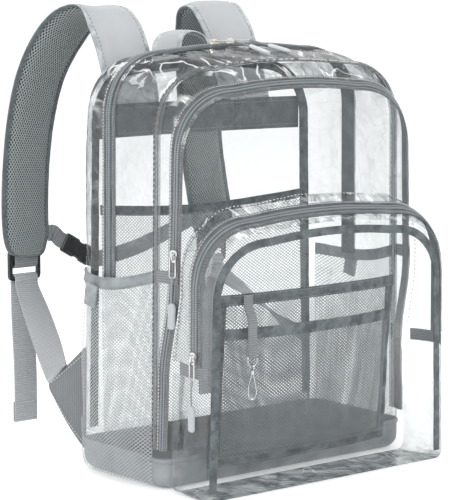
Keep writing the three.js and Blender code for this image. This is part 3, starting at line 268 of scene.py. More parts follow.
def netCloth(name, light, dark, wide, tall, fill):
    # Knitted net: a diagonal lattice of cords, its cells drawn up to twice as coarse so that they show
    material, tree = newMaterial(name)
    place, across, along = uvParts(tree)
    solid = addNode(tree, "ShaderNodeTexCoord").outputs["Object"]
    right = combine(tree, "MULTIPLY", across, 1000 * math.pi / wide)
    rise = combine(tree, "MULTIPLY", along, 1000 * math.pi / tall)
    cords = []
    for way in ("ADD", "SUBTRACT"):
        slant = combine(tree, way, right, rise)
        wave = addNode(tree, "ShaderNodeMath", {0: slant}, operation="SINE").outputs[0]
        cords.append(combine(tree, "ABSOLUTE", wave, 0.0))
    cord = combine(tree, "MINIMUM", cords[0], cords[1])
    mask = addNode(tree, "ShaderNodeMapRange", {
        "Value": cord, "From Min": fill - 0.08, "From Max": fill + 0.08, "To Min": 1.0,
        "To Max": 0.0}).outputs[0]
    cloud = cloudy(tree, solid, 55)
    cloth = addNode(tree, "ShaderNodeBsdfPrincipled", {
        "Base Color": tinted(tree, cloud, linear(dark), linear(light)), "Roughness": 0.7,
        "Specular IOR Level": 0.35, "Sheen Weight": 0.15, "Sheen Roughness": 0.5})
    hole = addNode(tree, "ShaderNodeBsdfTransparent", {"Color": (1, 1, 1, 1)})
    net = addNode(tree, "ShaderNodeMixShader", {0: mask, 1: hole.outputs[0], 2: cloth.outputs[0]})
    output(tree, net.outputs[0])
    return material


def airMesh(name, light, dark, wide, tall, rim):
    # Spacer mesh: rows of long openings between bright knitted ribs, the openings painted dark as the shade inside the
    # mesh
    material, tree = newMaterial(name)
    place, across, along = uvParts(tree)
    lattice = combine(tree, "MULTIPLY", threads(tree, across, wide), threads(tree, along, tall))
    opening = addNode(tree, "ShaderNodeMapRange", {
        "Value": lattice, "From Min": rim, "From Max": rim + 0.35}).outputs[0]
    cloth = addNode(tree, "ShaderNodeBsdfPrincipled", {
        "Base Color": tinted(tree, opening, linear(light), linear(dark)), "Roughness": 0.75,
        "Specular IOR Level": 0.3, "Sheen Weight": 0.2, "Sheen Roughness": 0.4,
        "Normal": bumped(tree, combine(tree, "SUBTRACT", 1.0, opening), 0.6, 0.0008)})
    output(tree, cloth.outputs[0])
    return material


def ribbed(name, light, dark, rib, rough=0.6, cross=0.0):
    # Woven webbing: ribs across the tape with fine cords between them. The colour follows the relief, so the grooves
    # carry painted shade; a cloud adds a random tone.
    material, tree = newMaterial(name)
    place, across, along = uvParts(tree)
    solid = addNode(tree, "ShaderNodeTexCoord").outputs["Object"]
    ribs = threads(tree, along, rib)
    cords = threads(tree, across, 1.6)
    relief = addNode(tree, "ShaderNodeMath", {0: cords, 1: 0.35, 2: ribs}, operation="MULTIPLY_ADD").outputs[0]
    level = addNode(tree, "ShaderNodeMapRange", {
        "Value": relief, "From Min": -1.4, "From Max": 1.3, "To Max": 0.8}).outputs[0]
    shade = addNode(tree, "ShaderNodeMath", {0: cloudy(tree, solid, 45), 1: 0.4, 2: level},
                    operation="MULTIPLY_ADD", use_clamp=True).outputs[0]
    cloth = addNode(tree, "ShaderNodeBsdfPrincipled", {
        "Base Color": tinted(tree, shade, linear(dark), linear(light)), "Roughness": rough,
        "Specular IOR Level": 0.4, "Sheen Weight": 0.1, "Sheen Roughness": 0.4,
        "Normal": bumped(tree, relief, 0.5, 0.0006)})
    output(tree, cloth.outputs[0])
    return material


def moulded(name, colour, rough, grain, metallic=0.0, depth=0.0002, strength=0.3):
    material, tree = newMaterial(name)
    solid = addNode(tree, "ShaderNodeTexCoord").outputs["Object"]
    fine = cloudy(tree, solid, grain)
    worn = addNode(tree, "ShaderNodeMapRange", {
        "Value": cloudy(tree, solid, 90), "To Min": rough * 0.75, "To Max": rough * 1.3}).outputs[0]
    body = addNode(tree, "ShaderNodeBsdfPrincipled", {
        "Base Color": linear(colour), "Roughness": worn, "Metallic": metallic,
        "Normal": bumped(tree, fine, strength, depth)})
    output(tree, body.outputs[0])
    return material


# The bent sheet and the hem get strong painted crease shade and painted highlight streaks; the flat sheet gets a faint
# painted crease shade
clearSheet = clearPvc("Clear PVC, calendered sheet", "#fdfefe", "#a9adb0", crease=0.02)
clearCurved = clearPvc("Clear PVC, bent and creased, painted shade and highlights", "#f9fbfb", "#6d7477", gloss=0.05, haze=0.0, bump=0.6,
                       crease=0.5, turn=2.1, paintedHighlight=0.9)
clearHem = clearPvc("Clear PVC, folded hem", "#b4b9bb", "#6d7477", gloss=0.08, haze=0.1, bump=0.7,
                    crease=0.4, paintedHighlight=0.15)
bindingCloth = woven("Polyester binding, folded and sewn", "#6f777a", "#3d4447", 1.2, 0.78, 90, 1.3, 0.1)
pocketBand = woven("Polyester pocket binding, folded", "#a3a9ab", "#7d8487", 1.2, 0.7, 60, 1.0, 0.1)
bandCloth = woven("Coated polyester band, woven", "#6d7578", "#485053", 1.4, 0.7, 45, 1.1, 0.1)
trayCloth = woven("Coated polyester tray, woven", "#a2a6a9", "#767b7e", 1.4, 0.6, 26, 0.9, 0.1)
zipTape = woven("Polyester zip tape, woven", "#7d8386", "#585e61", 1.3, 0.72, 50, 0.8, 0.1)
coilNylon = ribbed("Nylon coil, wound", "#9aa1a4", "#5c6467", 2.2, 0.4)
coilGap = moulded("Zip gap in shade", "#3c4346", 0.8, 300)
netSide = netCloth("Polyester net, knitted, side pocket", "#d0d4d5", "#a3a9ab", 5.0, 3.6, 0.33)
netSleeve = netCloth("Polyester net, knitted, sleeve", "#b2b7b9", "#888e91", 4.4, 3.4, 0.36)
netFront = netCloth("Polyester net, knitted, organizer", "#83898b", "#4b5154", 4.2, 3.3, 0.36)
netPouch = netCloth("Polyester net, knitted double, pouch", "#868c8e", "#4b5153", 4.2, 3.3, 0.46)
webTape = ribbed("Polypropylene webbing, woven ribs", "#bbbdc0", "#8c9093", 2.4)
# A darker copy of the webbing colours, for the tongue, hem, end tabs, corner tabs, chest straps and key strap
webDark = ribbed("Polypropylene webbing, darker copy, woven ribs", "#919496", "#65696c", 2.4)
strapCloth = woven("Polyester strap cloth, plain weave", "#c6c9cc", "#b6babd", 1.1, 0.75, 14, 0.7, 0.25)
strapEdge = woven("Polyester strap binding, folded", "#d2d6d8", "#a3abae", 1.4, 0.75, 120, 1.2, 0.2)
liningEdge = woven("Polyester lining binding, folded", "#6b7476", "#525b5d", 1.4, 0.75, 80, 1.0, 0.1)
liningMesh = airMesh("Spacer mesh, knitted lining", "#8f9696", "#242a2a", 3.0, 5.0, 0.1)
blackPlastic = moulded("Acetal, moulded black", "#24282a", 0.3, 700)
nickel = moulded("Zinc, nickel plated", "#d4d6d6", 0.16, 500, 1.0, 0.0001, 0.15)
paleMetal = moulded("Zinc, pale champagne plating", "#e4e2da", 0.2, 500, 1.0, 0.0001, 0.15)
wireSteel = moulded("Steel wire, bright bent", "#cfd2d3", 0.2, 600, 1.0, 0.0001, 0.15)
gripRubber = moulded("Thermoplastic rubber, moulded grip", "#b0b5b8", 0.45, 500)
paleGrip = moulded("Thermoplastic rubber, pale grip", "#d9dddd", 0.4, 500)
cordCloth = ribbed("Polyester cord, braided", "#a8aeb0", "#7b8386", 1.4)
threadDark = woven("Polyester thread, dark twisted", "#3b4245", "#23282a", 0.8, 0.6)
threadGrey = woven("Polyester thread, grey twisted", "#aab1b3", "#6f787b", 0.8, 0.6)
threadWhite = woven("Polyester thread, white twisted", "#f1f3f3", "#c9cecf", 0.8, 0.6)
print("materials made:", len(bpy.data.materials))

# Shell sizes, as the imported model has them
shell = {
    "height": 427, "width": 318, "mainDepth": 126, "middleDepth": 31, "pocketDepth": 46,
    "middleHeight": 386, "pocketHeight": 272, "cornerRadius": 70, "middleTaper": 14, "patchBottom": 205,
    "backBulge": 16, "middleBulge": 19, "frontBulge": 6, "trayHeight": 40, "trayEdge": 14,
    "trayCorner": 15, "crown": 5, "cornerPower": 2.3,
}
mainRows = np.array([  # depth from the back seam, half width, half width at the floor, height
    (0.0, 0.925, 0.965, 0.975), (0.04, 0.962, 0.99, 0.986), (0.14, 0.99, 1.01, 0.996),
    (0.34, 0.997, 1.015, 1.0), (0.58, 0.992, 1.012, 0.99), (0.8, 0.977, 1.005, 0.968),
    (0.9, 0.962, 1.012, 0.934), (1.0, 0.925, 1.0, 0.904)])
pocketRows = np.array([
    (0.0, 0.955, 0.98, 1.045), (0.2, 0.985, 1.0, 1.035), (0.5, 1.0, 1.012, 1.01),
    (0.8, 0.998, 1.01, 0.978), (0.93, 0.982, 1.0, 0.965), (1.0, 0.955, 0.985, 0.945)])
halfWidth = shell["width"] / 2
totalDepth = shell["mainDepth"] + shell["middleDepth"] + shell["pocketDepth"]
backY = totalDepth / 2
pipingY = backY - shell["mainDepth"]
middleY = pipingY - shell["middleDepth"]
frontY = -totalDepth / 2
trayFrontY = middleY + shell["middleTaper"] + 2
mainZipY = backY - shell["mainDepth"] * 0.42
middleZipY = pipingY - shell["middleDepth"] * 0.76
pocketZipY = middleY - shell["pocketDepth"] * 0.7
footZ = shell["trayHeight"] + 0.5
tabBottom, tabHeight = 119, 12
pocketLow = tabBottom + tabHeight  # where the front pocket's zip and sheets start
zipHalf = 7.5


def mix(a, b, share):
    return a + (b - a) * share


def archFrom(rows, depth, height):
    half, foot, top = (float(np.interp(depth, rows[:, 0], rows[:, k])) for k in (1, 2, 3))
    return half * halfWidth, foot * halfWidth, top * height


def mainArch(y):
    return archFrom(mainRows, (backY - y) / (shell["mainDepth"] + shell["middleDepth"]), shell["height"])


def pocketArch(y):
    return archFrom(pocketRows, (middleY - y) / shell["pocketDepth"], shell["pocketHeight"])


def halfAt(arch, z):
    half, foot, top = arch
    radius, power = shell["cornerRadius"], shell["cornerPower"]
    start = top - radius
    if z <= start:
        return mix(foot, half, max(0.0, z / start) ** 0.8)
    rise = min(1.0, (z - start) / (radius - shell["crown"]))
    return half - radius + radius * (1 - rise ** power) ** (1 / power)


def evenly(points, count):
    steps = np.linalg.norm(np.diff(points[:, :3], axis=0), axis=1)
    run = np.concatenate([[0], np.cumsum(steps)])
    at = np.linspace(0, run[-1], count)
    return np.stack([np.interp(at, run, points[:, k]) for k in range(points.shape[1])], axis=1)


def archLine(arch, low, inset=0.0, count=160):
    # Left foot, over the top, to the right foot, as x and z
    half, foot, top = arch
    radius, crown, power = shell["cornerRadius"], shell["crown"], 2 / shell["cornerPower"]
    start = top - radius
    left = [(inset - halfAt(arch, z), z) for z in np.linspace(low, start, 40)[:-1]]
    for turn in np.linspace(0, math.pi / 2, 40):
        left.append((-(half - radius) - (radius - inset) * max(0.0, math.cos(turn)) ** power,
                     start + (radius - crown - inset) * math.sin(turn) ** power))
    flat = half - radius
    middle = [(x, top - inset - crown * (x / flat) ** 2) for x in np.linspace(-flat, flat, 42)[1:-1]]
    line = np.array(left + middle + [(-x, z) for x, z in reversed(left)])
    flatLine = np.stack([line[:, 0], line[:, 1], np.zeros(len(line))], axis=1)
    return evenly(flatLine, count)[:, :2]


def drawBack(z):
    bottom = shell["patchBottom"]
    share = min(1.0, max(0.0, (bottom - z) / (bottom * 0.45)))
    return shell["middleTaper"] * share * share * (3 - 2 * share)


def swell(x, z, half, low, high):
    across = 1 - min(1.0, abs(x) / half) ** 2.6
    share = min(1.0, max(0.0, (z - low) / (high - low)))
    return across * max(0.0, math.sin(math.pi * share)) ** 0.6


def backFace(x, z):
    return backY - 1 + shell["backBulge"] * swell(x, z, halfWidth * 0.9, 0, shell["height"])


def middleFace(x, z):
    reach = shell["middleBulge"] + drawBack(z)
    return middleY + drawBack(z) - reach * swell(x, z, halfWidth * 0.98, -30, shell["middleHeight"])


def frontFace(x, z):
    return frontY - shell["frontBulge"] * swell(x, z, halfWidth, -20, shell["pocketHeight"])


def stripGrid(archAt, fromY, toY, low, across=8, along=170, lift=0.0, fromFace=None, toFace=None):
    rows = []
    for share in np.linspace(0, 1, across + 1):
        line = archLine(archAt(mix(fromY, toY, share)), low, -lift, along)
        rows.append([(x, mix(fromFace(x, z) if fromFace else fromY, toFace(x, z) if toFace else toY, share), z)
                     for x, z in line])
    return np.array(rows)


def panelGrid(arch, inset, low, yAt, columns=36, rows=44):
    half, foot, top = arch
    radius, crown = shell["cornerRadius"], shell["crown"]
    start, rise = top - radius, radius - crown - inset
    heights = list(np.linspace(low, start, rows)[:-1])
    heights += [start + rise * math.sin(t) for t in np.linspace(0, math.pi / 2, 16)]
    grid = []
    for z in heights:
        wide = halfAt(arch, min(z, top - crown - inset * 0.5)) - inset
        flat = max(1.0, half - radius)
        grid.append([(x, yAt(x, z), z + crown * max(0.0, 1 - (x / flat) ** 2) * (z / top) ** 8)
                     for x in np.linspace(-wide, wide, columns + 1)])
    return np.array(grid)


def normalsOf(grid):
    across, up = np.gradient(grid, axis=1), np.gradient(grid, axis=0)
    normal = np.cross(across, up)
    return normal / np.maximum(np.linalg.norm(normal, axis=2, keepdims=True), 1e-9)


def ripple(points, length, seed, waves=7, stretch=(1, 1, 1), sharp=False):
    # Sum of waves in seeded directions, from about -1 to 1, or ridges from 0 to 1
    made = np.random.default_rng(seed)
    flat = points.reshape(-1, 3) * np.array(stretch)
    total = np.zeros(len(flat))
    for _ in range(waves):
        heading = made.normal(size=3)
        heading /= np.linalg.norm(heading)
        wave = np.sin(flat @ heading * 2 * math.pi / (length * made.uniform(0.6, 1.7)) + made.uniform(0, 6.3))
        total += (1 - np.abs(wave)) ** 5 if sharp else wave
    total = total / (waves * 0.35) if sharp else total / math.sqrt(waves)
    return total.reshape(points.shape[:-1] + (1,))


def setMesh(name, points, faces, uvs, materials, indices=None, smooth=35):
    mesh = bpy.data.meshes.new(name)
    mesh.from_pydata((np.asarray(points) * 0.001).tolist(), [], faces)
    layer = mesh.uv_layers.new(name="UVMap")
    corner = np.empty(len(mesh.loops), dtype=np.int32)
    mesh.loops.foreach_get("vertex_index", corner)
    if len(uvs) == len(mesh.loops):
        layer.data.foreach_set("uv", np.asarray(uvs, dtype=np.float32).ravel())
    else:
        layer.data.foreach_set("uv", np.asarray(uvs, dtype=np.float32)[corner].ravel())
    for material in materials:
        mesh.materials.append(material)
    if indices is not None:
        mesh.polygons.foreach_set("material_index", np.asarray(indices, dtype=np.int32))
    mesh.polygons.foreach_set("use_smooth", [True] * len(mesh.polygons))
    mesh.update()
    mesh.set_sharp_from_angle(angle=math.radians(smooth))
    made = bpy.data.objects.new(name, mesh)
    scene.collection.objects.link(made)
    return made


def dress(piece, slot, *nodes, body="bag"):
    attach(piece, body)
    if nodes:
        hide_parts(*nodes)
    return piece


def gridUv(grid):
    across = np.concatenate([np.zeros((grid.shape[0], 1)), np.cumsum(
        np.linalg.norm(np.diff(grid, axis=1), axis=2), axis=1)], axis=1)
    up = np.concatenate([np.zeros((1, grid.shape[1])), np.cumsum(
        np.linalg.norm(np.diff(grid, axis=0), axis=2), axis=0)], axis=0)
    middle = across[:, -1:] / 2
    return np.stack([across - middle, np.broadcast_to(up.mean(axis=1, keepdims=True), across.shape)],
                    axis=2).reshape(-1, 2) * 0.001


def gridSheet(name, grid, material, wall=0.0, smooth=60):
    # A grid of points as a sheet; a wall gives it a second face on the side its normals point away from
    rows, columns = grid.shape[:2]
    index = np.arange(rows * columns).reshape(rows, columns)
    quads = np.stack([index[:-1, :-1], index[:-1, 1:], index[1:, 1:], index[1:, :-1]], axis=-1)
    quads = quads.reshape(-1, 4)
    points, faces, uvs = grid.reshape(-1, 3), quads.tolist(), gridUv(grid)
    if wall:
        inner = (grid - normalsOf(grid) * wall).reshape(-1, 3)
        far = rows * columns
        rim = np.concatenate([index[0, :], index[1:, -1], index[-1, -2::-1], index[-2:0:-1, 0]])
        turned = np.roll(rim, -1)
        faces += (quads[:, ::-1] + far).tolist()
        faces += np.stack([rim, rim + far, turned + far, turned], axis=-1).tolist()
        points, uvs = np.concatenate([points, inner]), np.concatenate([uvs, uvs])
    return setMesh(name, points, faces, uvs, [material], smooth=smooth)


def thicken(piece, wall, offset):
    thick = piece.modifiers.new("cloth thickness", "SOLIDIFY")
    thick.thickness = wall / 1000
    thick.offset = offset


def smoothRows(rows, count, steps=14):
    # Catmull-Rom through rows whose first three numbers are a place
    rows = np.asarray(rows, dtype=float)
    ends = np.concatenate([[2 * rows[0] - rows[1]], rows, [2 * rows[-1] - rows[-2]]])
    dense = []
    for i in range(1, len(ends) - 2):
        a, b, c, d = ends[i - 1:i + 3]
        for t in np.linspace(0, 1, steps, endpoint=False):
            dense.append(0.5 * (2 * b + (c - a) * t + (2 * a - 5 * b + 4 * c - d) * t * t
                                + (3 * b - a - 3 * c + d) * t ** 3))
    dense.append(rows[-1])
    return evenly(np.array(dense), count)


def sweep(name, rows, section, materials, indices=None, caps=True, loop=False, nudge=None, smooth=40):
    # rows: place, half width, half depth, direction of the width; section gives the outline there
    rows = np.asarray(rows, dtype=float)
    places = rows[:, :3]
    if loop:
        tangents = np.roll(places, -1, axis=0) - np.roll(places, 1, axis=0)
    else:
        tangents = np.gradient(places, axis=0)
    tangents /= np.linalg.norm(tangents, axis=1, keepdims=True)
    side = rows[:, 5:8] - tangents * np.sum(rows[:, 5:8] * tangents, axis=1, keepdims=True)
    side /= np.linalg.norm(side, axis=1, keepdims=True)
    out = np.cross(tangents, side)
    outlines = np.array([section(w, d) for w, d in rows[:, 3:5]])
    if nudge is not None:
        outlines = nudge(outlines, places)
    points = places[:, None] + side[:, None] * outlines[..., :1] + out[:, None] * outlines[..., 1:2]
    count, sides = outlines.shape[:2]
    run = np.concatenate([[0], np.cumsum(np.linalg.norm(np.diff(places, axis=0), axis=1))])
    around = np.linalg.norm(np.diff(outlines[0], axis=0, append=outlines[0][:1]), axis=1)
    girth = np.concatenate([[0], np.cumsum(around)])
    faces, uvs, picked = [], [], []
    pitch = run[1] if count > 1 else 0
    for ring in range(count if loop else count - 1):
        after = (ring + 1) % count
        low, high = run[ring], run[ring + 1] if ring + 1 < count else run[ring] + pitch
        for k in range(sides):
            n = (k + 1) % sides
            faces.append((ring * sides + k, ring * sides + n, after * sides + n, after * sides + k))
            uvs += [(girth[k], low), (girth[k + 1], low), (girth[k + 1], high), (girth[k], high)]
            picked.append(indices[k] if indices else 0)
    if caps and not loop:
        for ring, order in ((0, range(sides - 1, -1, -1)), (count - 1, range(sides))):
            faces.append(tuple(ring * sides + k for k in order))
            uvs += [tuple(outlines[ring][k] + run[ring]) for k in order]
            picked.append(indices[0] if indices else 0)
    return setMesh(name, points.reshape(-1, 3), faces, np.array(uvs) * 0.001, materials, picked, smooth)


def tapeSection(edge=0.6, steps=3):
    def section(half, deep):
        cut = min(deep, half) * edge
        outline = []
        for sx, sy, start in ((1, 1, 0), (-1, 1, 1), (-1, -1, 2), (1, -1, 3)):
            for i in range(steps):
                turn = (start + i / (steps - 1)) * math.pi / 2
                outline.append((sx * (half - cut) + cut * math.cos(turn),
                                sy * (deep - cut) + cut * math.sin(turn)))
        return outline
    return section


def roundSection(sides=8):
    turns = [2 * math.pi * i / sides for i in range(sides)]
    return lambda half, deep: [(half * math.cos(t), deep * math.sin(t)) for t in turns]


def plainRows(path, half, deep, across):
    path = np.asarray(path, dtype=float)
    sizes = np.broadcast_to(np.array([half, deep], dtype=float).T, (len(path), 2))
    return np.concatenate([path, sizes, np.broadcast_to(np.asarray(across, float), (len(path), 3))], axis=1)


def stitchRow(name, path, normals, material, pitch=4.0, length=2.6, thick=0.45, stand=0.2):
    # Threads that show between needle holes, one long bead a stitch
    path, normals = np.asarray(path, float), np.asarray(normals, float)
    run = np.concatenate([[0], np.cumsum(np.linalg.norm(np.diff(path, axis=0), axis=1))])
    points, faces = [], []
    for at in np.arange(pitch / 2, run[-1] - pitch / 2, pitch):
        a, b, n = (np.array([np.interp(s, run, data[:, k]) for k in range(3)]) for s, data in (
            (at - length / 2, path), (at + length / 2, path), (at, normals)))
        n = n / np.linalg.norm(n)
        side = np.cross(b - a, n)
        side = side / np.linalg.norm(side) * thick
        base = len(points)
        for share, size in ((0, 0.35), (0.3, 1), (0.7, 1), (1, 0.35)):
            c = a + (b - a) * share + n * stand
            points += [c + side * size, c + n * thick * size, c - side * size, c - n * thick * size]
        for ring in range(3):
            for k in range(4):
                m = (k + 1) % 4
                faces.append((base + ring * 4 + k, base + ring * 4 + m, base + ring * 4 + 4 + m,
                              base + ring * 4 + 4 + k))
        faces += [(base + 3, base + 2, base + 1, base), (base + 12, base + 13, base + 14, base + 15)]
    points = np.array(points)
    return setMesh(name, points, faces, points[:, [0, 2]] * 0.001, [material], smooth=80)


def sameWay(line, away):
    return np.tile(away, (len(line), 1))


def creased(grid, depth, length, seed, stretch=(1, 1, 1), fade=None):
    # Soft swells and sharper creases, along the sheet's own normals
    amount = ripple(grid, length, seed, stretch=stretch) * 0.6 \
        + ripple(grid, length * 0.8, seed + 50, stretch=stretch, sharp=True)
    if fade is not None:
        amount = amount * fade[..., None]
    return grid + normalsOf(grid) * amount * depth


def topness(grid, low=0.45):
    # 0 on the upright sides, 1 over the top of the arch
    share = (grid[..., 2] - grid[..., 2].min()) / np.ptp(grid[..., 2])
    return np.clip((share - low) / (1 - low), 0, 1) ** 0.7


def edgeFade(grid, margin=0.12):
    v = np.linspace(0, 1, grid.shape[0])[:, None]
    return np.clip(np.minimum(v, 1 - v) / margin, 0, 1) * np.ones(grid.shape[:2])


def unit3(normals, away):
    # The same normals, turned to the side that points away
    facing = np.sign(np.sum(normals * away, axis=-1, keepdims=True))
    return normals * np.where(facing == 0, 1, facing)


# Clear shell
clear = {"crease": 1.5, "creaseLength": 70, "panelDent": 1.2}


def addClear():
    rear = mainZipY + zipHalf
    front = pipingY + 2
    strips = {
        "gusset_rear": stripGrid(mainArch, backY, rear, footZ, 12),
        "gusset_front": stripGrid(mainArch, mainZipY - zipHalf, front, footZ, 12),
        "mid_gusset": stripGrid(mainArch, pipingY - 2, middleZipY + 6, footZ, 5, 170, 0,
                                None, lambda x, z: middleZipY + 6 + drawBack(z)),
        "pocket_gusset": stripGrid(pocketArch, middleY - 2.5, pocketZipY + zipHalf, pocketLow, 8, 130,
                                   0, lambda x, z: max(pocketZipY + zipHalf + 3, middleFace(x, z) - 1.6)),
        "front_edge": stripGrid(pocketArch, pocketZipY - zipHalf, frontY + 1, pocketLow, 5, 130),
    }
    for i, (name, grid) in enumerate(strips.items()):
        fade = edgeFade(grid) * (0.3 + 0.9 * topness(grid))
        wrinkled = creased(grid, clear["crease"], clear["creaseLength"], 11 + i, (1, 0.45, 1), fade)
        dress(gridSheet(f"{name}_pvc", wrinkled, clearCurved), "clear_vinyl", name)
        if name == "pocket_gusset":
            row = wrinkled[1]
            out = unit3(normalsOf(wrinkled)[1], row - [0, 0, 120])
            dress(stitchRow("pocket_gusset_seam", row + out * 0.3, out, threadWhite, 4.4, 2.4, 0.5),
                  "clear_vinyl", name)
    mid = mainArch(middleY + 1)
    low = pocketArch(frontY)
    dividerY = front + 1.5
    panels = {
        "back_panel": (panelGrid(mainArch(backY), 2.5, footZ, backFace), 21, 1.0),
        "divider_panel": (panelGrid(mainArch(dividerY), 6, footZ, lambda x, z: dividerY, 20, 30), 22, 0.4),
        "mid_panel": (panelGrid(mid, 0.7, footZ, middleFace), 23, 1.0),
        "front_panel": (panelGrid(low, 0.4, 3.6, frontFace), 24, 1.0),
    }
    for name, (grid, seed, share) in panels.items():
        u = np.linspace(0, 1, grid.shape[1])[None, :]
        fade = edgeFade(grid, 0.08) * np.clip(np.minimum(u, 1 - u) / 0.08, 0, 1)
        wrinkled = creased(grid, clear["panelDent"] * share, 150, seed, (1, 1, 1), fade)
        dress(gridSheet(f"{name}_pvc", wrinkled, clearSheet), "clear_vinyl", name)
    corner = 9
    fromY, toY = middleY - 3.2, frontY + 1
    rows = []
    for share in np.linspace(0, 1, 9):
        def edgeY(z):
            return mix(fromY + drawBack(z), toY, share)
        left = [(-halfAt(pocketArch(edgeY(z)), z), edgeY(z), z)
                for z in np.linspace(tabBottom, corner, 22)[:-1]]
        foot = halfAt(pocketArch(edgeY(corner)), corner)
        for t in np.linspace(0, math.pi / 2, 10):
            z = corner * (1 - math.sin(t))
            left.append((-foot + corner * (1 - math.cos(t)), edgeY(z), z + 0.4))
        flat = [(x, edgeY(0), 0.4) for x in np.linspace(left[-1][0], -left[-1][0], 34)[1:-1]]
        rows.append(left + flat + [(-x, y, z) for x, y, z in reversed(left)])
    base = np.array(rows)
    base = base + normalsOf(base) * ripple(base, 45, 31) * (edgeFade(base) * (base[..., 2] > 6))[..., None]
    dress(gridSheet("pocket_base_pvc", base, clearCurved), "clear_vinyl", "pocket_base")


addClear()
print("clear shell made")


def sideGrid(archAt, side, fromY, toY, low, high, offset, draw=0.0, columns=14, rows=6):
    grid = []
    for z in np.linspace(low, high, rows + 1):
        line = []
        for y in np.linspace(fromY, toY, columns + 1):
            line.append((side * (halfAt(archAt(y), z) + offset), y + drawBack(z) * draw, z))
        grid.append(line)
    return np.array(grid)


# Zips: tape, coil and the stitched hems of the PVC beside them
zipper = {
    "mainHalf": 9.5,  # the main tape is wider than the others
    "mainLow": 199,  # and ends at the side pockets
    "tapeWall": 0.8, "coilRadius": 1.35, "coilApart": 1.55, "hemWidth": 4.6, "stitch": 3.4,
}


def addZip(node, archAt, fromY, toY, low, fromFace=None, toFace=None, count=190):
    def lineAt(share, lift):
        grid = stripGrid(archAt, fromY, toY, low, 20, count, lift, fromFace, toFace)
        return grid[int(round(share * 20))]
    tape = stripGrid(archAt, fromY, toY, low, 8, count, 0.3, fromFace, toFace)
    tape = tape + normalsOf(tape) * ripple(tape, 30, 41) * 0.25 * edgeFade(tape, 0.3)[..., None]
    flip = 1 if np.mean((normalsOf(tape) * (tape - [0, 0, 150]))[..., [0, 2]]) > 0 else -1
    dress(gridSheet(f"{node}_tape", tape[:, ::flip], zipTape, zipper["tapeWall"]), "zip_tape", node)
    middle = lineAt(0.5, 0.3)
    normal = normalsOf(tape)[4] * flip
    across = lineAt(1.0, 0.3) - lineAt(0.0, 0.3)
    across /= np.linalg.norm(across, axis=1, keepdims=True)
    for side, label in ((-1, "rear"), (1, "front")):
        rows = np.concatenate([middle + across * side * zipper["coilApart"] + normal * 0.9,
                               np.full((count, 1), 1.3), np.full((count, 1), zipper["coilRadius"]), across], axis=1)
        dress(sweep(f"{node}_coil_{label}", rows, roundSection(8), [coilNylon]), "zip_tape", node)
    rows = np.concatenate([middle + normal * 0.85, np.full((count, 1), 0.7), np.full((count, 1), 0.5), across],
                          axis=1)
    dress(sweep(f"{node}_gap", rows, roundSection(6), [coilGap]), "zip_tape", node)
    for share, label in ((0.0, "rear"), (1.0, "front")):
        edge = lineAt(share, 0.8)
        toward = across * (1 if share == 0 else -1)
        hem = np.stack([edge - toward * 1.2, edge + toward * (zipper["hemWidth"] * 0.35),
                        edge + toward * (zipper["hemWidth"] - 1.2)])
        hem = hem + normal[None] * (0.5 + 0.25 * ripple(hem, 14, 43 if share else 44))
        dress(gridSheet(f"{node}_hem_{label}", hem[:, ::flip], clearHem), "clear_vinyl", node)
        seam = edge + toward * 1.4 + normal * 0.9
        dress(stitchRow(f"{node}_seam_{label}", seam, normal, threadGrey if share else threadWhite,
                        zipper["stitch"], 2.2, 0.35), "zip_tape", node)


addZip("main_zip", mainArch, mainZipY + zipper["mainHalf"], mainZipY - zipper["mainHalf"], zipper["mainLow"])
for zipSide, zipLabel in ((-1, "left"), (1, "right")):  # clear sheet carries on below the zip's ends
    below = sideGrid(mainArch, zipSide, mainZipY + zipHalf, mainZipY - zipHalf, footZ, zipper["mainLow"],
                     0.2, 0, 6, 40)
    dress(gridSheet(f"main_zip_below_{zipLabel}", below[:, ::-zipSide], clearCurved), "clear_vinyl", "main_zip")
midRear, midFront = middleZipY + 6, middleY + 1.5
addZip("mid_zip", mainArch, midRear, midFront, footZ, lambda x, z: midRear + drawBack(z),
       lambda x, z: midFront + drawBack(z))
addZip("front_zip", pocketArch, pocketZipY + zipHalf, pocketZipY - zipHalf, pocketLow, count=150)
print("zips made")

# Piping and its dark stitches
piping = {"radius": 2.0, "stitchPitch": 5.2, "stitchLength": 3.4}


def addPiping():
    line = archLine(mainArch(pipingY), footZ, -1.2, 230)
    path = np.stack([line[:, 0], np.full(len(line), pipingY), line[:, 1]], axis=1)
    dress(sweep("main_piping_cord", plainRows(path, piping["radius"], piping["radius"], (0, 1, 0)),
                roundSection(8), [clearHem]), "piping", "main_piping")
    tangent = np.gradient(path, axis=0)
    out = np.cross(tangent, np.array([0, 1.0, 0]))
    out *= np.sign(np.sum(out * (path - [0, 0, 150]), axis=1, keepdims=True))
    out /= np.linalg.norm(out, axis=1, keepdims=True)
    for shift, label in ((3.4, "rear"), (-3.4, "front")):
        base = path + np.array([0, shift, 0]) - out * 0.6
        flange = np.stack([base + np.array([0, -2.6, 0]), base, base + np.array([0, 2.6, 0])])
        dress(gridSheet(f"main_piping_flange_{label}", flange, clearHem), "piping", "main_piping")
    dress(stitchRow("main_piping_stitches", path + np.array([0, 3.4, 0]) - out * 0.1, out, threadDark,
                    piping["stitchPitch"], piping["stitchLength"], 0.75, 0.3), "piping", "main_piping")


addPiping()


# Cloth bindings round the back and front panels
binding = {"width": 10, "frontWidth": 8, "wall": 1.2, "gather": 0.5}


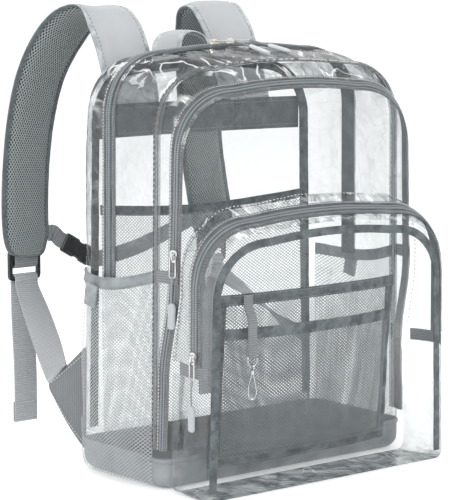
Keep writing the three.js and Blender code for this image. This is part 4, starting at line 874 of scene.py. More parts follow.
def bandOnPanel(name, node, arch, low, width, yAt, seed):
    rows = []
    for share in np.linspace(0, 1, 5):
        line = archLine(arch, low, share * width + 0.5, 200)
        rows.append([(x, yAt(x, z), z) for x, z in line])
    grid = np.array(rows)
    grid = grid + normalsOf(grid) * ripple(grid, 16, seed) * binding["gather"] * 0.5
    dress(gridSheet(name, grid, bindingCloth, binding["wall"]), "binding_cloth", node)
    stitch = grid[3].copy()
    stitch[:, 1] -= 0.5
    dress(stitchRow(f"{name}_stitches", stitch, np.tile([0, -1.0, 0], (len(stitch), 1)), threadGrey, 3.6, 2.4,
                    0.35), "binding_cloth", node)


def inward(arch, inset):
    return arch[0] - inset, arch[1] - inset, arch[2] - inset


bandOnPanel("back_binding_cloth", "back_binding", inward(mainArch(backY), 2.5), footZ, binding["width"],
            lambda x, z: backFace(x, z) - 2.1, 51)
bandOnPanel("front_binding_cloth", "front_binding", inward(pocketArch(frontY), 2.5), 9, binding["frontWidth"],
            lambda x, z: frontFace(x, z) + 1.6, 52)
print("piping and bindings made")

# Cloth tray
tray = {"clothTop": 29, "wall": 1.4, "sag": 0.8}


def addTray():
    half, edge = halfWidth * 1.008, shell["trayEdge"]
    profile = [(60, 1.0), (30, 0.2)] + [(edge * (1 - math.sin(t)), edge * (1 - math.cos(t)))
                                        for t in np.linspace(0, math.pi / 2, 9)] \
        + [(0, 19), (0, 24), (0, tray["clothTop"])]
    rows = []
    for inset, z in profile:
        ring = []
        radius = max(2.0, shell["trayCorner"] - inset * 0.6)
        for x, y, quarter in ((half - inset, backY + 1 - inset, 0), (-half + inset, backY + 1 - inset, 1),
                              (-half + inset, trayFrontY + inset, 2), (half - inset, trayFrontY + inset, 3)):
            cy = y - math.copysign(radius, 1 if quarter < 2 else -1)
            cx = x - math.copysign(radius, x)
            for i in range(9):
                t = (quarter + i / 8) * math.pi / 2
                ring.append((cx + radius * math.cos(t), cy + radius * math.sin(t), z))
        ring.append(ring[0])
        rows.append(evenly(np.array(ring), 150))
    grid = np.array(rows)
    away = normalsOf(grid)
    fade = np.clip((grid[..., 2] - 2) / 12, 0, 1)[..., None]
    grid = grid + away * ripple(grid, 55, 61) * tray["sag"] * fade
    piece = dress(gridSheet("base_tray_cloth", grid, trayCloth, 0), "tray_cloth", "base_tray")
    thicken(piece, tray["wall"], -1)
    rises = np.linspace(0.4, shell["trayHeight"] - tray["clothTop"], 6)
    skirt = np.array([grid[-1] + [0, 0, rise] for rise in rises])
    dress(gridSheet("base_tray_skirt", skirt, clearCurved), "clear_vinyl", "base_tray")
    inner = grid[0]
    centre = np.array([[0, (backY + trayFrontY) / 2, 0.9]])
    points = np.concatenate([inner, centre])
    faces = [(i, (i + 1) % len(inner), len(inner)) for i in range(len(inner) - 1)]
    floor = setMesh("base_tray_floor", points, faces, points[:, :2] * 0.001, [trayCloth])
    dress(floor, "tray_cloth", "base_tray")
    hem = grid[-1].copy()
    rows = plainRows(hem[:-1] + [0, 0, 0.3], 1.3, 2.4, (0, 0, 1))
    rows[:, 5:8] = normalsOf(grid)[-1][:-1]
    dress(sweep("base_tray_hem", rows, roundSection(8), [trayCloth], loop=True), "tray_cloth", "base_tray")


addTray()


# Back fittings: strap band, laptop sleeve and its binding
back = {"bandBottom": 333, "bandHeight": 34, "sleeveTop": 262, "sleeveSag": 14, "sleeveGap": 10}


def backGrid(halfX, lowAt, highAt, offset, columns=60, rows=8):
    grid = []
    for share in np.linspace(0, 1, rows + 1):
        line = []
        for x in np.linspace(-halfX, halfX, columns + 1):
            z = mix(lowAt(x), highAt(x), share)
            line.append((x, backFace(x, z) + offset, z))
        grid.append(line)
    return np.array(grid)


def sleeveEdge(x):
    return back["sleeveTop"] - back["sleeveSag"] * math.cos(math.pi * x / (2.2 * halfWidth))


def addBack():
    half = halfWidth * 0.86
    low, high = back["bandBottom"], back["bandBottom"] + back["bandHeight"]
    band = backGrid(half, lambda x: low, lambda x: high, 2.7 + 0.8)
    band = band + normalsOf(band) * ripple(band, 40, 71) * 0.4
    dress(gridSheet("strap_band_cloth", band, bandCloth, 1.4), "binding_cloth", "strap_band")
    for share, label in ((0.1, "low"), (0.9, "high")):
        row = band[int(round(share * 8))]
        for away, tag in ((-1.9, "in"), (1.0, "out")):
            dress(stitchRow(f"strap_band_{label}_{tag}", row + [0, away, 0],
                            np.tile([0, float(np.sign(away)), 0], (len(row), 1)), threadGrey, 3.8, 2.5, 0.35),
                  "binding_cloth", "strap_band")
    sleeve = backGrid(half, lambda x: 3.0, sleeveEdge, -back["sleeveGap"] + 0.6, 90, 60)
    fade = edgeFade(sleeve, 0.1)[..., None]
    billow = 0.5 + 0.5 * ripple(sleeve, 80, 72, stretch=(1.5, 1, 0.35))
    sleeve = sleeve - np.array([0, 1, 0]) * billow * 2.2 * fade
    net = dress(gridSheet("laptop_sleeve_net", sleeve, netSleeve), "net", "laptop_sleeve")
    top = backGrid(half, lambda x: sleeveEdge(x) + 0.3, lambda x: sleeveEdge(x) + 10.5, -back["sleeveGap"] + 0.8)
    top = top + normalsOf(top) * ripple(top, 18, 73) * 0.35
    dress(gridSheet("sleeve_binding_cloth", top, bindingCloth, 1.4), "binding_cloth", "sleeve_binding")
    dress(stitchRow("sleeve_binding_stitches", top[1] + [0, -1.6, 0], np.tile([0, -1.0, 0], (len(top[1]), 1)),
                    threadGrey, 3.6, 2.4, 0.35), "binding_cloth", "sleeve_binding")


addBack()
print("tray and back fittings made")

# Cloth patches and end tabs where the zips stop


def addPatches():
    for label, side in (("left", -1), ("right", 1)):
        spots = {
            f"mid_end_patch_{label}": (mainArch, pipingY - 2.5, middleY + 2, 205, 217, 2.9),
            f"front_end_tab_{label}": (pocketArch, middleY - 0.5, frontY + 1, tabBottom, pocketLow, 0.2),
        }
        for node, (archAt, fromY, toY, low, high, offset) in spots.items():
            grid = sideGrid(archAt, side, fromY, toY, low, high, offset)
            grid[..., 0] += side * ripple(grid, 9, 81)[..., 0] * 0.3
            dress(gridSheet(f"{node}_tape", grid[:, ::-side], webDark, 1.2), "binding_cloth", node)


addPatches()

# Organizer on the middle panel
organizer = {"half": 117, "top": 192, "bottom": 20, "band": 11, "pouchTop": 159, "puff": 7, "fold": 2.2}


def organizerFace(x, z):
    return middleFace(x, z) - 1.4


def pouchFace(x, z):
    across = max(0.0, 1 - (x / organizer["half"]) ** 2) ** 0.5
    up = min(1.0, max(0.0, (z - organizer["bottom"]) / 25))
    return organizerFace(x, z) - 2.1 - organizer["puff"] * across * up


def faceGrid(x0, x1, z0, z1, yAt, columns, rows):
    return np.array([[(x, yAt(x, z), z) for x in np.linspace(x0, x1, columns + 1)]
                     for z in np.linspace(z0, z1, rows + 1)])


def addOrganizer():
    o = organizer
    bands = {
        "top": (-o["half"], o["half"], o["top"] - o["band"], o["top"], 90, 5),
        "bottom": (-o["half"], o["half"], o["bottom"], o["bottom"] + o["band"], 90, 5),
        "left": (-o["half"], -o["half"] + o["band"], o["bottom"], o["top"], 5, 70),
        "right": (o["half"] - o["band"], o["half"], o["bottom"], o["top"], 5, 70),
    }
    for i, (label, (x0, x1, z0, z1, columns, rows)) in enumerate(bands.items()):
        stand = 0.35 if label in ("top", "bottom") else 0.0
        grid = faceGrid(x0, x1, z0, z1, lambda x, z: organizerFace(x, z) - 0.9 - stand, columns, rows)
        grid[..., 1] += (ripple(grid, 15, 90 + i, stretch=(1, 1, 1)) * 0.45)[..., 0]
        dress(gridSheet(f"organizer_frame_{label}", grid, bindingCloth, 1.2), "binding_cloth", "organizer_frame")
        flat = label in ("top", "bottom")
        for index, tag in ((0, "low"), (5, "high")):
            line = grid[index] if flat else grid[:, index]
            into = 1.6 if index == 0 else -1.6
            inset = [0, -0.4, into] if flat else [into, -0.4, 0]
            dress(stitchRow(f"organizer_frame_{label}_{tag}", line + inset, sameWay(line, [0, -1.0, 0]),
                            threadGrey, 3.0, 1.8, 0.32), "binding_cloth", "organizer_frame")
    inner = o["half"] - o["band"]
    mesh = faceGrid(-inner - 2, inner + 2, o["bottom"] + 9, o["top"] - 9,
                    lambda x, z: organizerFace(x, z) - 0.4, 80, 50)
    net = dress(gridSheet("organizer_mesh_net", mesh, netFront), "net", "organizer_mesh")

    def folded(x, z):
        # Loose net hangs in a few upright folds, deepest at the right
        share = min(1.0, max(0.0, (z - o["bottom"] - 6) / 30))
        lean = x - 0.16 * (z - 60) * (1 if x > 0 else 0.3)
        depth = o["fold"] * (0.35 + 0.65 * min(1.0, max(0.0, (x + 40) / 110)))
        wave = math.sin(lean / 7.2) * 0.6 + math.sin(lean / 4.1 + 1.3) * 0.4
        return pouchFace(x, z) + depth * share * wave
    pouch = faceGrid(-inner - 2, inner + 2, o["bottom"] + 8, o["pouchTop"] - 8, folded, 170, 50)
    net = dress(gridSheet("organizer_pocket_net", pouch, netPouch), "net", "organizer_pocket")
    band = faceGrid(-inner - 3, inner + 3, o["pouchTop"] - o["band"], o["pouchTop"],
                    lambda x, z: pouchFace(x, o["pouchTop"]) - 0.5, 110, 5)
    band[..., 1] += (ripple(band, 13, 97) * 0.6)[..., 0]
    dress(gridSheet("organizer_pocket_binding_cloth", band, bindingCloth, 1.3), "binding_cloth",
          "organizer_pocket_binding")


addOrganizer()
print("organizer made")

# Side pockets
sidePocket = {"height": 206, "bulge": 13, "bindingHeight": 12, "tabWidth": 18, "tabLength": 22}
sideFromY, sideToY = backY - 5, pipingY + 4


def trayHalfAt(y):
    radius = shell["trayCorner"]
    into = max(0.0, y - (backY + 1 - radius))
    return halfWidth * 1.008 - radius + math.sqrt(max(0.0, radius * radius - into * into))


def sideTop(share):
    return sidePocket["height"] - 5 * math.sin(math.pi * share) + 9 * share * share


def sideOffset(share, z):
    up = min(1.0, z / sidePocket["height"])
    out = max(0.0, math.sin(math.pi * share)) ** 0.7
    puff = sidePocket["bulge"] * max(0.0, math.sin(math.pi * mix(0.12, 0.9, up))) ** 0.8
    return 0.5 + (2.9 + puff) * out


def pocketGrid(side, lowAt, highAt, columns, rows, extra=0.6):
    grid = []
    for t in np.linspace(0, 1, rows + 1):
        line = []
        for share in np.linspace(0, 1, columns + 1):
            y = mix(sideFromY, sideToY, share)
            z = mix(lowAt(share), highAt(share), t)
            surface = halfAt(mainArch(y), z)
            if z < shell["trayHeight"] + shell["trayEdge"]:
                surface = max(surface, trayHalfAt(y))
            if z < shell["trayEdge"]:
                edge = shell["trayEdge"]
                surface -= edge - math.sqrt(edge * edge - (edge - z) ** 2)
            line.append((side * (surface + sideOffset(share, z) + extra), y, z))
        grid.append(line)
    return np.array(grid)


def addSides():
    for label, side in (("left", -1), ("right", 1)):
        net = pocketGrid(side, lambda s: 4.0, lambda s: sideTop(s) - sidePocket["bindingHeight"] + 1, 60, 70)
        fade = edgeFade(net, 0.1)[..., None]
        net[..., 0:1] += side * ripple(net, 60, 101, stretch=(1, 1.6, 0.5)) * 1.3 * fade
        piece = gridSheet(f"side_pocket_{label}_net", net[:, ::-side], netSide)
        dress(piece, "net", f"side_pocket_{label}")
        band = pocketGrid(side, lambda s: sideTop(s) - sidePocket["bindingHeight"], sideTop, 60, 5, 1.0)
        band[..., 0:1] += side * ripple(band, 17, 102) * 0.4
        dress(gridSheet(f"side_binding_{label}_cloth", band[:, ::-side], pocketBand, 1.6), "binding_cloth",
              f"side_binding_{label}")
        away = np.tile([side, 0, 0.0], (band.shape[1], 1))
        for row, tag in ((0, "low"), (5, "top")):
            line = band[row] + [side * 0.4, 0, 1.5 if row == 0 else -1.5]
            dress(stitchRow(f"side_binding_{label}_{tag}", line, away, threadGrey, 3.4, 2.3, 0.35),
                  "binding_cloth", f"side_binding_{label}")
        share = 0.33
        y, z = mix(sideFromY, sideToY, share), sideTop(share) - sidePocket["bindingHeight"] + 4
        x = halfAt(mainArch(y), z) + sideOffset(share, z) + 1.6 + 0.5 + 3.2
        drops = [(side * (x + out), y - drop * sidePocket["tabLength"] * 0.2, z + drop * sidePocket["tabLength"])
                 for out, drop in ((0, 0), (0.5, -0.3), (0.6, -0.62), (0.4, -0.88), (0.2, -1))]
        rows = smoothRows(plainRows(drops, sidePocket["tabWidth"] / 2, 1.2, (0, 1, 0)), 18)
        dress(sweep(f"side_tab_{label}_tape", rows, tapeSection(), [pocketBand]), "webbing", f"side_tab_{label}")


addSides()
print("side pockets made")

# Shoulder straps
strap = {"rootX": 74, "top": 461, "reach": 84, "lean": 80, "width": 66, "pad": 11, "edge": 5.0,
         "pucker": 0.16}
lock = {"stand": 3, "overlap": 8, "length": 34, "lowBar": 2.1, "tongueBar": 15.6, "wrapBar": 1.9,
        "wrapRoom": 1.6, "tongueHalf": 0.95}
strapRows = {  # lean, reach, rise, width and pad, as shares of the sizes above
    "left": [
        (0, 0, 0.735, 0.94, 0.4), (0, 0.005, 0.765, 0.97, 0.42), (0.03, 0.03, 0.812, 1, 0.75),
        (0.08, 0.08, 0.877, 1, 1), (0.15, 0.17, 0.948, 1, 1), (0.22, 0.32, 0.99, 1, 1),
        (0.33, 0.5, 0.998, 1, 1), (0.5, 0.68, 0.972, 0.98, 1), (0.68, 0.82, 0.92, 0.95, 1),
        (0.83, 0.92, 0.85, 0.91, 1), (0.94, 0.97, 0.76, 0.89, 1), (1, 1, 0.66, 0.88, 1),
        (1.03, 1, 0.56, 0.88, 1), (1.02, 0.99, 0.49, 0.85, 0.85), (1, 0.98, 0.458, 0.66, 0.6),
        (1, 0.975, 0.448, 0.46, 0.45)],
    "right": [
        (0, 0, 0.735, 0.94, 0.4), (0, 0.005, 0.765, 0.97, 0.42), (-0.03, 0.03, 0.812, 1, 0.75),
        (-0.1, 0.08, 0.877, 1, 1), (-0.18, 0.17, 0.952, 1, 1), (-0.27, 0.32, 1, 1, 1),
        (-0.29, 0.48, 1.006, 1, 1), (-0.24, 0.64, 0.982, 0.98, 1), (-0.18, 0.77, 0.93, 0.95, 1),
        (-0.12, 0.85, 0.855, 0.91, 1), (-0.08, 0.88, 0.76, 0.89, 1), (-0.02, 0.89, 0.66, 0.88, 1),
        (0.08, 0.89, 0.56, 0.88, 1), (0.16, 0.885, 0.49, 0.85, 0.85), (0.2, 0.88, 0.458, 0.66, 0.6),
        (0.215, 0.875, 0.448, 0.46, 0.45)],
}


def bandFace(x, z):
    return backFace(x, z) + 4.3


rootHalf = strap["width"] * 0.47
rootZ = 0.735 * strap["top"]
rootSlope = (bandFace(strap["rootX"] + rootHalf, rootZ)
             - bandFace(strap["rootX"] - rootHalf, rootZ)) / (2 * rootHalf)
strapRootY = bandFace(strap["rootX"], rootZ) + strap["pad"] * 0.4 / 2 + 0.4


def padSection(half, deep):
    # Cloth crowned on one face, lining on the other, a thin bound edge at each side
    edge = min(strap["edge"], half * 0.4)
    thin = min(1.5, deep * 0.8)
    outline = []
    for s in (1, -1):  # lining face first, then the outer cloth
        spans = np.linspace(half - edge, -(half - edge), 11) * s
        if s == 1:
            outline += [(half, 0.0), (half - 0.4, thin * 0.8), (half - edge * 0.5, thin)]
        else:
            outline += [(-half, 0.0), (-half + 0.4, -thin * 0.8), (-half + edge * 0.5, -thin)]
        for x in spans:
            crown = thin + (deep - thin) * max(0.0, 1 - (abs(x) / (half - edge)) ** 3.2) ** 0.6
            outline.append((x, s * crown))
        outline.append((s * (-half + edge * 0.5), s * thin))
        outline.append((s * (-half + 0.4), s * thin * 0.8))
    return outline


padMaterials = [strapCloth, liningMesh, strapEdge, liningEdge]
padBands = [3, 3, 3] + [1] * 10 + [3, 3, 3] + [2, 2, 2] + [0] * 10 + [2, 2, 2]


def strapPoint(side, row):
    return (side * (strap["rootX"] + row[0] * strap["lean"]), strapRootY + row[1] * strap["reach"],
            row[2] * strap["top"])


def puckered(outlines, places):
    # The bound edges gather a little along their stitches
    run = np.concatenate([[0], np.cumsum(np.linalg.norm(np.diff(places, axis=0), axis=1))])[:, None]
    wave = np.sin(run / 3.1) * 0.5 + np.sin(run / 5.3 + 1) * 0.5
    width = np.abs(outlines[..., 0]) / np.abs(outlines[..., 0]).max(axis=1, keepdims=True)
    near = np.clip((width - 0.72) / 0.2, 0, 1)
    outlines[..., 1] *= 1 + strap["pucker"] * wave * near
    return outlines


def addStrap(label, side):
    rows = []
    for row in strapRows[label]:
        across = (1, side * rootSlope, 0) if row[4] < 0.5 and row[1] < 0.1 else (1, 0, 0)
        rows.append(strapPoint(side, row) + (row[3] * strap["width"] / 2, row[4] * strap["pad"] / 2) + across)
    fine = smoothRows(rows, 190)
    fine[:, 3] = np.clip(fine[:, 3], 0, strap["width"] / 2)
    piece = sweep(f"shoulder_strap_{label}_pad", fine, padSection, padMaterials, padBands, nudge=puckered,
                  smooth=60)
    dress(piece, "strap_cloth", f"shoulder_strap_{label}")
    places, half = fine[:, :3], fine[:, 3]
    tangents = np.gradient(places, axis=0)
    tangents /= np.linalg.norm(tangents, axis=1, keepdims=True)
    sideways = fine[:, 5:8] - tangents * np.sum(fine[:, 5:8] * tangents, axis=1, keepdims=True)
    sideways /= np.linalg.norm(sideways, axis=1, keepdims=True)
    out = np.cross(tangents, sideways)
    keep = slice(6, 178)
    for s, tag in ((1, "right"), (-1, "left")):
        for face, cloth, name in ((-1, threadGrey, "outer"), (1, threadDark, "lining")):
            line = places + sideways * (s * (half - strap["edge"] - 0.4))[:, None] \
                + out * (face * (np.minimum(1.5, fine[:, 4] * 0.8) + 0.5))[:, None]
            dress(stitchRow(f"shoulder_strap_{label}_{name}_{tag}", line[keep], out[keep] * face, cloth, 4.2, 2.8,
                            0.4), "strap_cloth", f"shoulder_strap_{label}")
    end = places[-1]
    lockY = end[1] + strap["pad"] * 0.5 + lock["stand"]
    addTongue(label, end, lockY)
    addLowerWebbing(label, side, end[0], lockY, end[2] + lock["overlap"] - lock["length"] + lock["lowBar"])


def addTongue(label, end, lockY):
    barTop = end[2] + lock["overlap"] - lock["tongueBar"]
    wrap = lock["wrapBar"] + lock["wrapRoom"] + lock["tongueHalf"]
    turns = [(end[0], end[1] + 1.5, end[2] + 22), (end[0], lockY - wrap - 1, barTop + 12),
             (end[0], lockY - wrap, barTop + 5), (end[0], lockY - wrap, barTop),
             (end[0], lockY - wrap * 0.7, barTop - wrap * 0.7), (end[0], lockY, barTop - wrap),
             (end[0], lockY + wrap * 0.7, barTop - wrap * 0.7), (end[0], lockY + wrap, barTop),
             (end[0], lockY + wrap, barTop + 5), (end[0], lockY + wrap, barTop + 18),
             (end[0], end[1] + 2.5, end[2] + 30)]
    rows = smoothRows(plainRows(turns, web["width"] / 2, lock["tongueHalf"], (1, 0, 0)), 60)
    dress(sweep(f"shoulder_strap_{label}_tongue", rows, tapeSection(), [webDark]), "webbing",
          f"shoulder_strap_{label}")


# Lower webbing and its corner tab
web = {"width": 28, "wall": 1.9, "tabReach": 39, "tabTurn": 0.87, "tabTop": 124, "tabLow": 17, "tabApex": 83,
       "tabWall": 3.2, "tabBow": 4.0, "freeEnd": 30}


def unit(v):
    v = np.asarray(v, float)
    return v / np.linalg.norm(v)


def addLowerWebbing(label, side, x, lockY, barZ):
    w = web
    arch = mainArch(backY)
    outward = np.array([side * math.cos(w["tabTurn"]), math.sin(w["tabTurn"]), 0])
    normal = unit(np.cross(outward, [0, 0, 1]))
    rootY = backY + 0.4 + w["tabWall"] / 2 * math.cos(w["tabTurn"])

    def onTab(out, z, stand=0.0):
        return np.array([side * (halfAt(arch, z) - 1), rootY, z]) + outward * out + normal * stand
    edge = unit(onTab(w["tabReach"], w["tabApex"]) - onTab(0, w["tabTop"]))
    away = unit(np.cross(edge, normal))
    away = away * math.copysign(1, away[2])
    wrap = lock["wrapBar"] + lock["wrapRoom"] + w["wall"] / 2
    start = onTab(w["tabReach"], w["tabApex"]) - edge * (w["width"] / 2 + 1) + away * 0.4
    approach = np.array([x, lockY - wrap, barZ - 3])

    def between(share, sag):
        return mix(start, approach, share) - np.array([0, 0, sag])

    def bar(dy, dz):
        return np.array([x, lockY + dy, barZ + dz])
    path = [start, start + away * 3, between(0.3, 3), between(0.65, 3), bar(-wrap - 1.2, -9), bar(-wrap, 0),
            bar(-wrap * 0.7, wrap * 0.7), bar(0, wrap), bar(wrap * 0.7, wrap * 0.7), bar(wrap, 0), bar(wrap, -8),
            np.array([x, lockY + wrap - 1, mix(barZ, w["freeEnd"], 0.3)]),
            np.array([x - side, lockY + wrap - 3, mix(barZ, w["freeEnd"], 0.65)]),
            np.array([x - side, lockY + wrap - 3, w["freeEnd"]])]
    rows = []
    for i, point in enumerate(path):
        turn = min(1.0, max(0.0, (i - 1) / 3))
        across = mix(edge * side, np.array([1, 0, 0]), turn)
        rows.append(np.concatenate([point, [w["width"] / 2, w["wall"] / 2], across]))
    fine = smoothRows(rows, 170)
    node = f"webbing_{label}"
    dress(sweep(f"{node}_tape", fine, tapeSection(), [webTape]), "webbing", node)
    end = path[-1]
    hem = [end + [0, 1.9, 21], end + [0, 2.1, 12], end + [0, 2.0, 0.4]]
    hem = smoothRows(plainRows(hem, w["width"] / 2, 0.9, (1, 0, 0)), 12)
    dress(sweep(f"{node}_hem", hem, tapeSection(), [webDark]), "webbing", node)
    for drop in (20, 17):
        line = np.array([end + [s, 3.1, drop] for s in np.linspace(-12.5, 12.5, 8)])
        for tag, shift, way in (("", 0, 1.0), ("_front", 4.4, -1.0)):
            dress(stitchRow(f"{node}_bar_{drop}{tag}", line - [0, shift, 0], sameWay(line, [0, way, 0]),
                            threadWhite, 3.2, 2.2, 0.4), "webbing", node)
    corners = np.array([(0, w["tabLow"]), (0, w["tabTop"]), (w["tabReach"], w["tabApex"]),
                        (w["tabReach"] - 1, w["tabApex"] - 5)])

    def tabPlace(t, s):
        # t runs out from the seam, s up from the bowed lower edge
        lower, upper = mix(corners[0], corners[3], t), mix(corners[1], corners[2], t)
        return mix(lower, upper, s) - [0, w["tabBow"] * math.sin(math.pi * t) * (1 - s)]
    grid = np.array([[onTab(*tabPlace(t, s), w["tabWall"] / 2) for s in np.linspace(0, 1, 25)]
                     for t in np.linspace(0, 1, 19)])
    piece = gridSheet(f"corner_tab_{label}_cloth", grid, webDark, 0)
    thicken(piece, w["tabWall"], 1 if np.dot(normalsOf(grid)[9, 9], normal) < 0 else -1)
    dress(piece, "binding_cloth", f"corner_tab_{label}")
    for face in (1, -1):
        for s, tag in ((0.94, "top"), (0.05, "low")):
            line = np.array([onTab(*tabPlace(t, s), face * (w["tabWall"] / 2 + 0.2))
                             for t in np.linspace(0.03, 0.97, 16)])
            dress(stitchRow(f"corner_tab_{label}_{tag}_{'out' if face > 0 else 'in'}", line,
                            np.tile(normal * face, (16, 1)), threadWhite, 3.4, 2.3, 0.4), "binding_cloth",
                  f"corner_tab_{label}")


addStrap("left", -1)
addStrap("right", 1)
print("shoulder straps made")

# Grab handle
handle = {"x": -8, "span": 62, "width": 30, "wall": 3.6}
handleRows = [(-1, 0, 0.932, 0), (-1.02, 3, 0.958, 0.06), (-0.93, 8, 0.992, 0.4), (-0.58, 15, 1.018, 0.74),
              (0, 18, 1.028, 0.96)]


def addHandle():
    h = handle
    both = handleRows + [(-a, off, rise, 2 - turn) for a, off, rise, turn in reversed(handleRows[:-1])]
    rows = []
    for along, off, rise, turn in both:
        x, z = h["x"] + along * h["span"] / 2, rise * shell["height"]
        y = backFace(x, min(z, shell["height"])) + 1.1 + 1.6 + 0.5 + off
        t = turn * math.pi / 2
        rows.append((x, y, z, h["width"] / 2, h["wall"] / 2, math.cos(t), -math.sin(t), 0))
    fine = smoothRows(rows, 110)
    piece = sweep("grab_handle_band", fine, padSection, padMaterials, padBands, nudge=puckered, smooth=60)
    dress(piece, "strap_cloth", "grab_handle")


addHandle()

# Chest strap
chest = {"width": 20, "length": 40, "thick": 7, "buckleHalf": 10.5}


def addChest():
    def edgeAtRise(label, rise):
        rows = strapRows[label]
        after = next(i for i, row in enumerate(rows) if i > 7 and row[2] <= rise)
        a, b = rows[after - 1], rows[after]
        share = (a[2] - rise) / (a[2] - b[2])
        side = -1 if label == "left" else 1

        def onEdge(row):
            return np.array(strapPoint(side, row)) + [-side * row[3] * strap["width"] / 2, 0, 0]
        slope = unit(onEdge(a) - onEdge(b))
        into = unit([-side * slope[2], 0, side * slope[0]])
        return mix(onEdge(a), onEdge(b), share) + into * 1.2, into
    left, leftIn = edgeAtRise("left", 0.495)
    right, rightIn = edgeAtRise("right", 0.5)
    start = np.array([left[0] + 18, left[1], left[2] - 10])
    end = start + [chest["length"] * 0.87, 0, -chest["length"] * 0.5]
    lean = unit(end - start)
    across = np.array([lean[2], 0, -lean[0]])
    up = np.array([0, 0, 1.0])

    def tape(name, points, sides):
        rows = [np.concatenate([p, [chest["width"] * 0.42, 0.95], s]) for p, s in zip(points, sides)]
        dress(sweep(f"{name}_tape", smoothRows(rows, 60), tapeSection(), [webDark]), "webbing", name)
    tape("chest_webbing_left", [left - leftIn * 1.5, left + leftIn * 5, start - lean * 6, start - lean * 0.6],
         [up, up, across, across])
    begin = end + lean * 0.6

    def sag(share, drop):
        return mix(begin, right, share) - np.array([0, 0, drop])
    tape("chest_webbing_right", [begin, begin + lean * 5, sag(0.14, 5), sag(0.3, 7), sag(0.5, 7), sag(0.75, 4),
                                 right + rightIn * 6, right - rightIn * 1.5],
         [across, across, across, up, up, up, up, up])
    profile = [(0, 0.82, 0.45), (0.03, 0.96, 0.75), (0.1, 1, 0.95), (0.3, 1, 1), (0.42, 0.98, 1),
               (0.47, 0.84, 0.96), (0.62, 0.86, 0.96), (0.68, 0.98, 1), (0.8, 1, 1), (0.95, 0.98, 0.9), (1, 0.82, 0.5)]
    rows = [np.concatenate([mix(start, end, share), [wide * chest["buckleHalf"], deep * chest["thick"] / 2], across])
            for share, wide, deep in profile]
    buckle = sweep("chest_buckle_shell", smoothRows(rows, 60), tapeSection(0.8, 5), [blackPlastic])
    dress(buckle, "buckle_plastic", "chest_buckle")
    for s in (1, -1):
        rib = [mix(start, end, share) + across * s * 7 + [0, -chest["thick"] / 2 - 0.1, 0]
               for share in np.linspace(0.12, 0.4, 6)]
        dress(sweep(f"chest_buckle_rib_{'upper' if s > 0 else 'lower'}", plainRows(rib, 1.0, 0.6, across),
                    roundSection(8), [blackPlastic]), "buckle_plastic", "chest_buckle")


addChest()
print("handle and chest strap made")


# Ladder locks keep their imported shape, with eased edges
def paintNode(node, material):
    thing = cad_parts[node]
    thing = thing if isinstance(thing, bpy.types.Object) else bpy.data.objects[node]
    thing.data.materials.clear()
    thing.data.materials.append(material)
    return thing


def easeNode(node, material, width):
    bevel = paintNode(node, material).modifiers.new("eased edges", "BEVEL")
    bevel.width = width / 1000
    bevel.segments = 3
    bevel.limit_method = "ANGLE"
    bevel.angle_limit = math.radians(35)
    bevel.harden_normals = False


for name in ("ladder_lock_left", "ladder_lock_right"):
    easeNode(name, blackPlastic, 1.1)

# Sliders, pulls, key clip
pull = {"frame": 22, "width": 8, "wire": 1.4, "cord": 24, "tip": 25, "tipWidth": 8, "tipThick": 4}
pullStand = 2.95
pullStops = [0, pull["frame"], pull["frame"] + pull["cord"], pull["frame"] + pull["cord"] + pull["tip"]]


def addPull(name, path, normal, metal, grip, cord):
    node = f"pull_{name}"
    path = [np.asarray(p, float) for p in path]
    along = unit(path[1] - path[0])
    across = unit(np.cross(along, normal))
    wide, long = pull["width"] / 2 - 0.7, pull["frame"] - 0.7
    ring = []
    for cx, cy, start in ((wide - 1.6, 2.2, -1), (wide - 1.6, long - 1.6, 0), (-wide + 1.6, long - 1.6, 1),
                          (-wide + 1.6, 2.2, 2)):
        for i in range(4):
            t = (start + i / 3) * math.pi / 2
            ring.append(path[0] + across * (cx + 1.6 * math.cos(t)) + along * (cy - 0.1 + 1.6 * math.sin(t)))
    out = unit(np.cross(across, along))
    dress(sweep(f"{node}_frame", plainRows(ring, 0.65, 0.7, out), roundSection(8), [metal], loop=True),
          "slider_metal", node)
    start = path[1] - along * 1.6
    string = smoothRows(plainRows([start, mix(path[1], path[2], 0.3), mix(path[1], path[2], 0.7),
                                   mix(path[2], path[3], 0.15)], 1.0, 0.9, across), 30)
    string[:, :3] += np.sin(np.linspace(0, math.pi, 30))[:, None] * across * 0.8
    dress(sweep(f"{node}_cord", string, roundSection(8), [cord]), "pull_rubber", node)
    knot = [mix(path[1], path[2], s) for s in (0.02, 0.1, 0.18)]
    dress(sweep(f"{node}_knot", smoothRows(plainRows(knot, 1.5, 1.4, across), 8), roundSection(8), [cord]),
          "pull_rubber", node)
    sizes = [(0, 0.62, 0.7), (0.06, 0.8, 0.85), (0.2, 1, 1), (0.5, 0.96, 0.98), (0.88, 0.95, 0.92),
             (0.97, 0.8, 0.8), (1, 0.5, 0.55)]
    rows = [np.concatenate([mix(path[2], path[3], s),
                            [w * pull["tipWidth"] / 2, d * pull["tipThick"] / 2], across])
            for s, w, d in sizes]
    dress(sweep(f"{node}_tip", smoothRows(rows, 36), tapeSection(0.7, 4), [grip]), "pull_rubber", node)


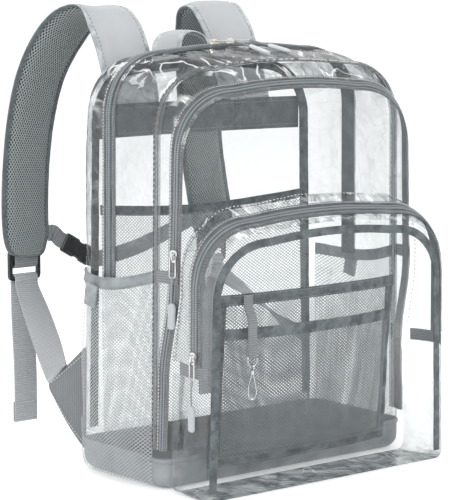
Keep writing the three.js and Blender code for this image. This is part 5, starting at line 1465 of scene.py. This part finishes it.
def sidePull(name, archAt, y, z, side):
    slope = (halfAt(archAt(y + 3.75), z) - halfAt(archAt(y - 3.75), z)) / 7.5
    normal = unit([side, -slope, 0])

    def lifted(height, lift):
        return np.array([side * max(halfAt(archAt(y), z), halfAt(archAt(y), height)), y, height]) + normal * lift
    eye = z + pull["wire"] / 2
    addPull(name, [lifted(eye - drop, 1.3 + 0.5 + pullStand) for drop in pullStops], normal, nickel, gripRubber,
            cordCloth)
    easeNode(f"slider_{name}", nickel, 0.5)


def topPull(name, x, heading, tail):
    def topAt(px, py):
        half, foot, top = mainArch(py)
        return top - shell["crown"] * (px / (half - shell["cornerRadius"])) ** 2
    level = topAt(x, mainZipY) + 1.3 + 0.5 + pullStand

    def lie(length):
        rigid = min(length, pull["frame"]) - pull["wire"] / 2
        loose = max(0.0, length - pull["frame"])
        px = x + heading[0] * rigid + tail[0] * loose
        py = mainZipY + heading[1] * rigid + tail[1] * loose
        return np.array([px, py, topAt(px, py) + pull["tipThick"] / 2 + 1.5 if loose else level])
    addPull(name, [lie(s) for s in pullStops], np.array([0, 0, 1.0]), paleMetal, paleGrip, cordCloth)
    easeNode(f"slider_{name}", paleMetal, 0.5)


sidePull("middle", mainArch, (midRear + midFront) / 2, 232, -1)
sidePull("front", pocketArch, pocketZipY, pocketLow + 8, -1)
topPull("main_left", -27, (0.88, -0.47), (0.1, -0.99))
topPull("main_right", -6, (0.93, -0.37), (0.3, -0.95))

key = {"x": -84, "width": 11, "length": 60}


def addKeyStrap():
    top = organizer["top"] - 1
    low = top - key["length"]
    y = pouchFace(key["x"], low) - 1.6 - 4.2
    first = organizerFace(key["x"], top) - 1.6 - 0.5 - 1.2
    path = [(key["x"], first, top), (key["x"], first - 0.6, top - 11), (key["x"], y, mix(top, low, 0.42)),
            (key["x"], y, low + 9), (key["x"], y, low + 3), (key["x"], y, low - 1.6)]
    depths = (2.2, 2.2, 2.2, 2.4, 4.2, 4.0)
    rows = smoothRows([p + (key["width"] / 2, d / 2, 1, 0, 0) for p, d in zip(path, depths)], 50)
    dress(sweep("key_strap_tape", rows, tapeSection(0.9), [webDark]), "webbing", "key_strap")


addKeyStrap()
for name in ("key_ring", "key_hook", "key_hook_gate"):
    rounding = paintNode(name, wireSteel).modifiers.new("rounded wire", "SUBSURF")
    rounding.levels = rounding.render_levels = 1
    rounding.boundary_smooth = "PRESERVE_CORNERS"
print("sliders, pulls and key clip made")

bpy.context.view_layer.update()
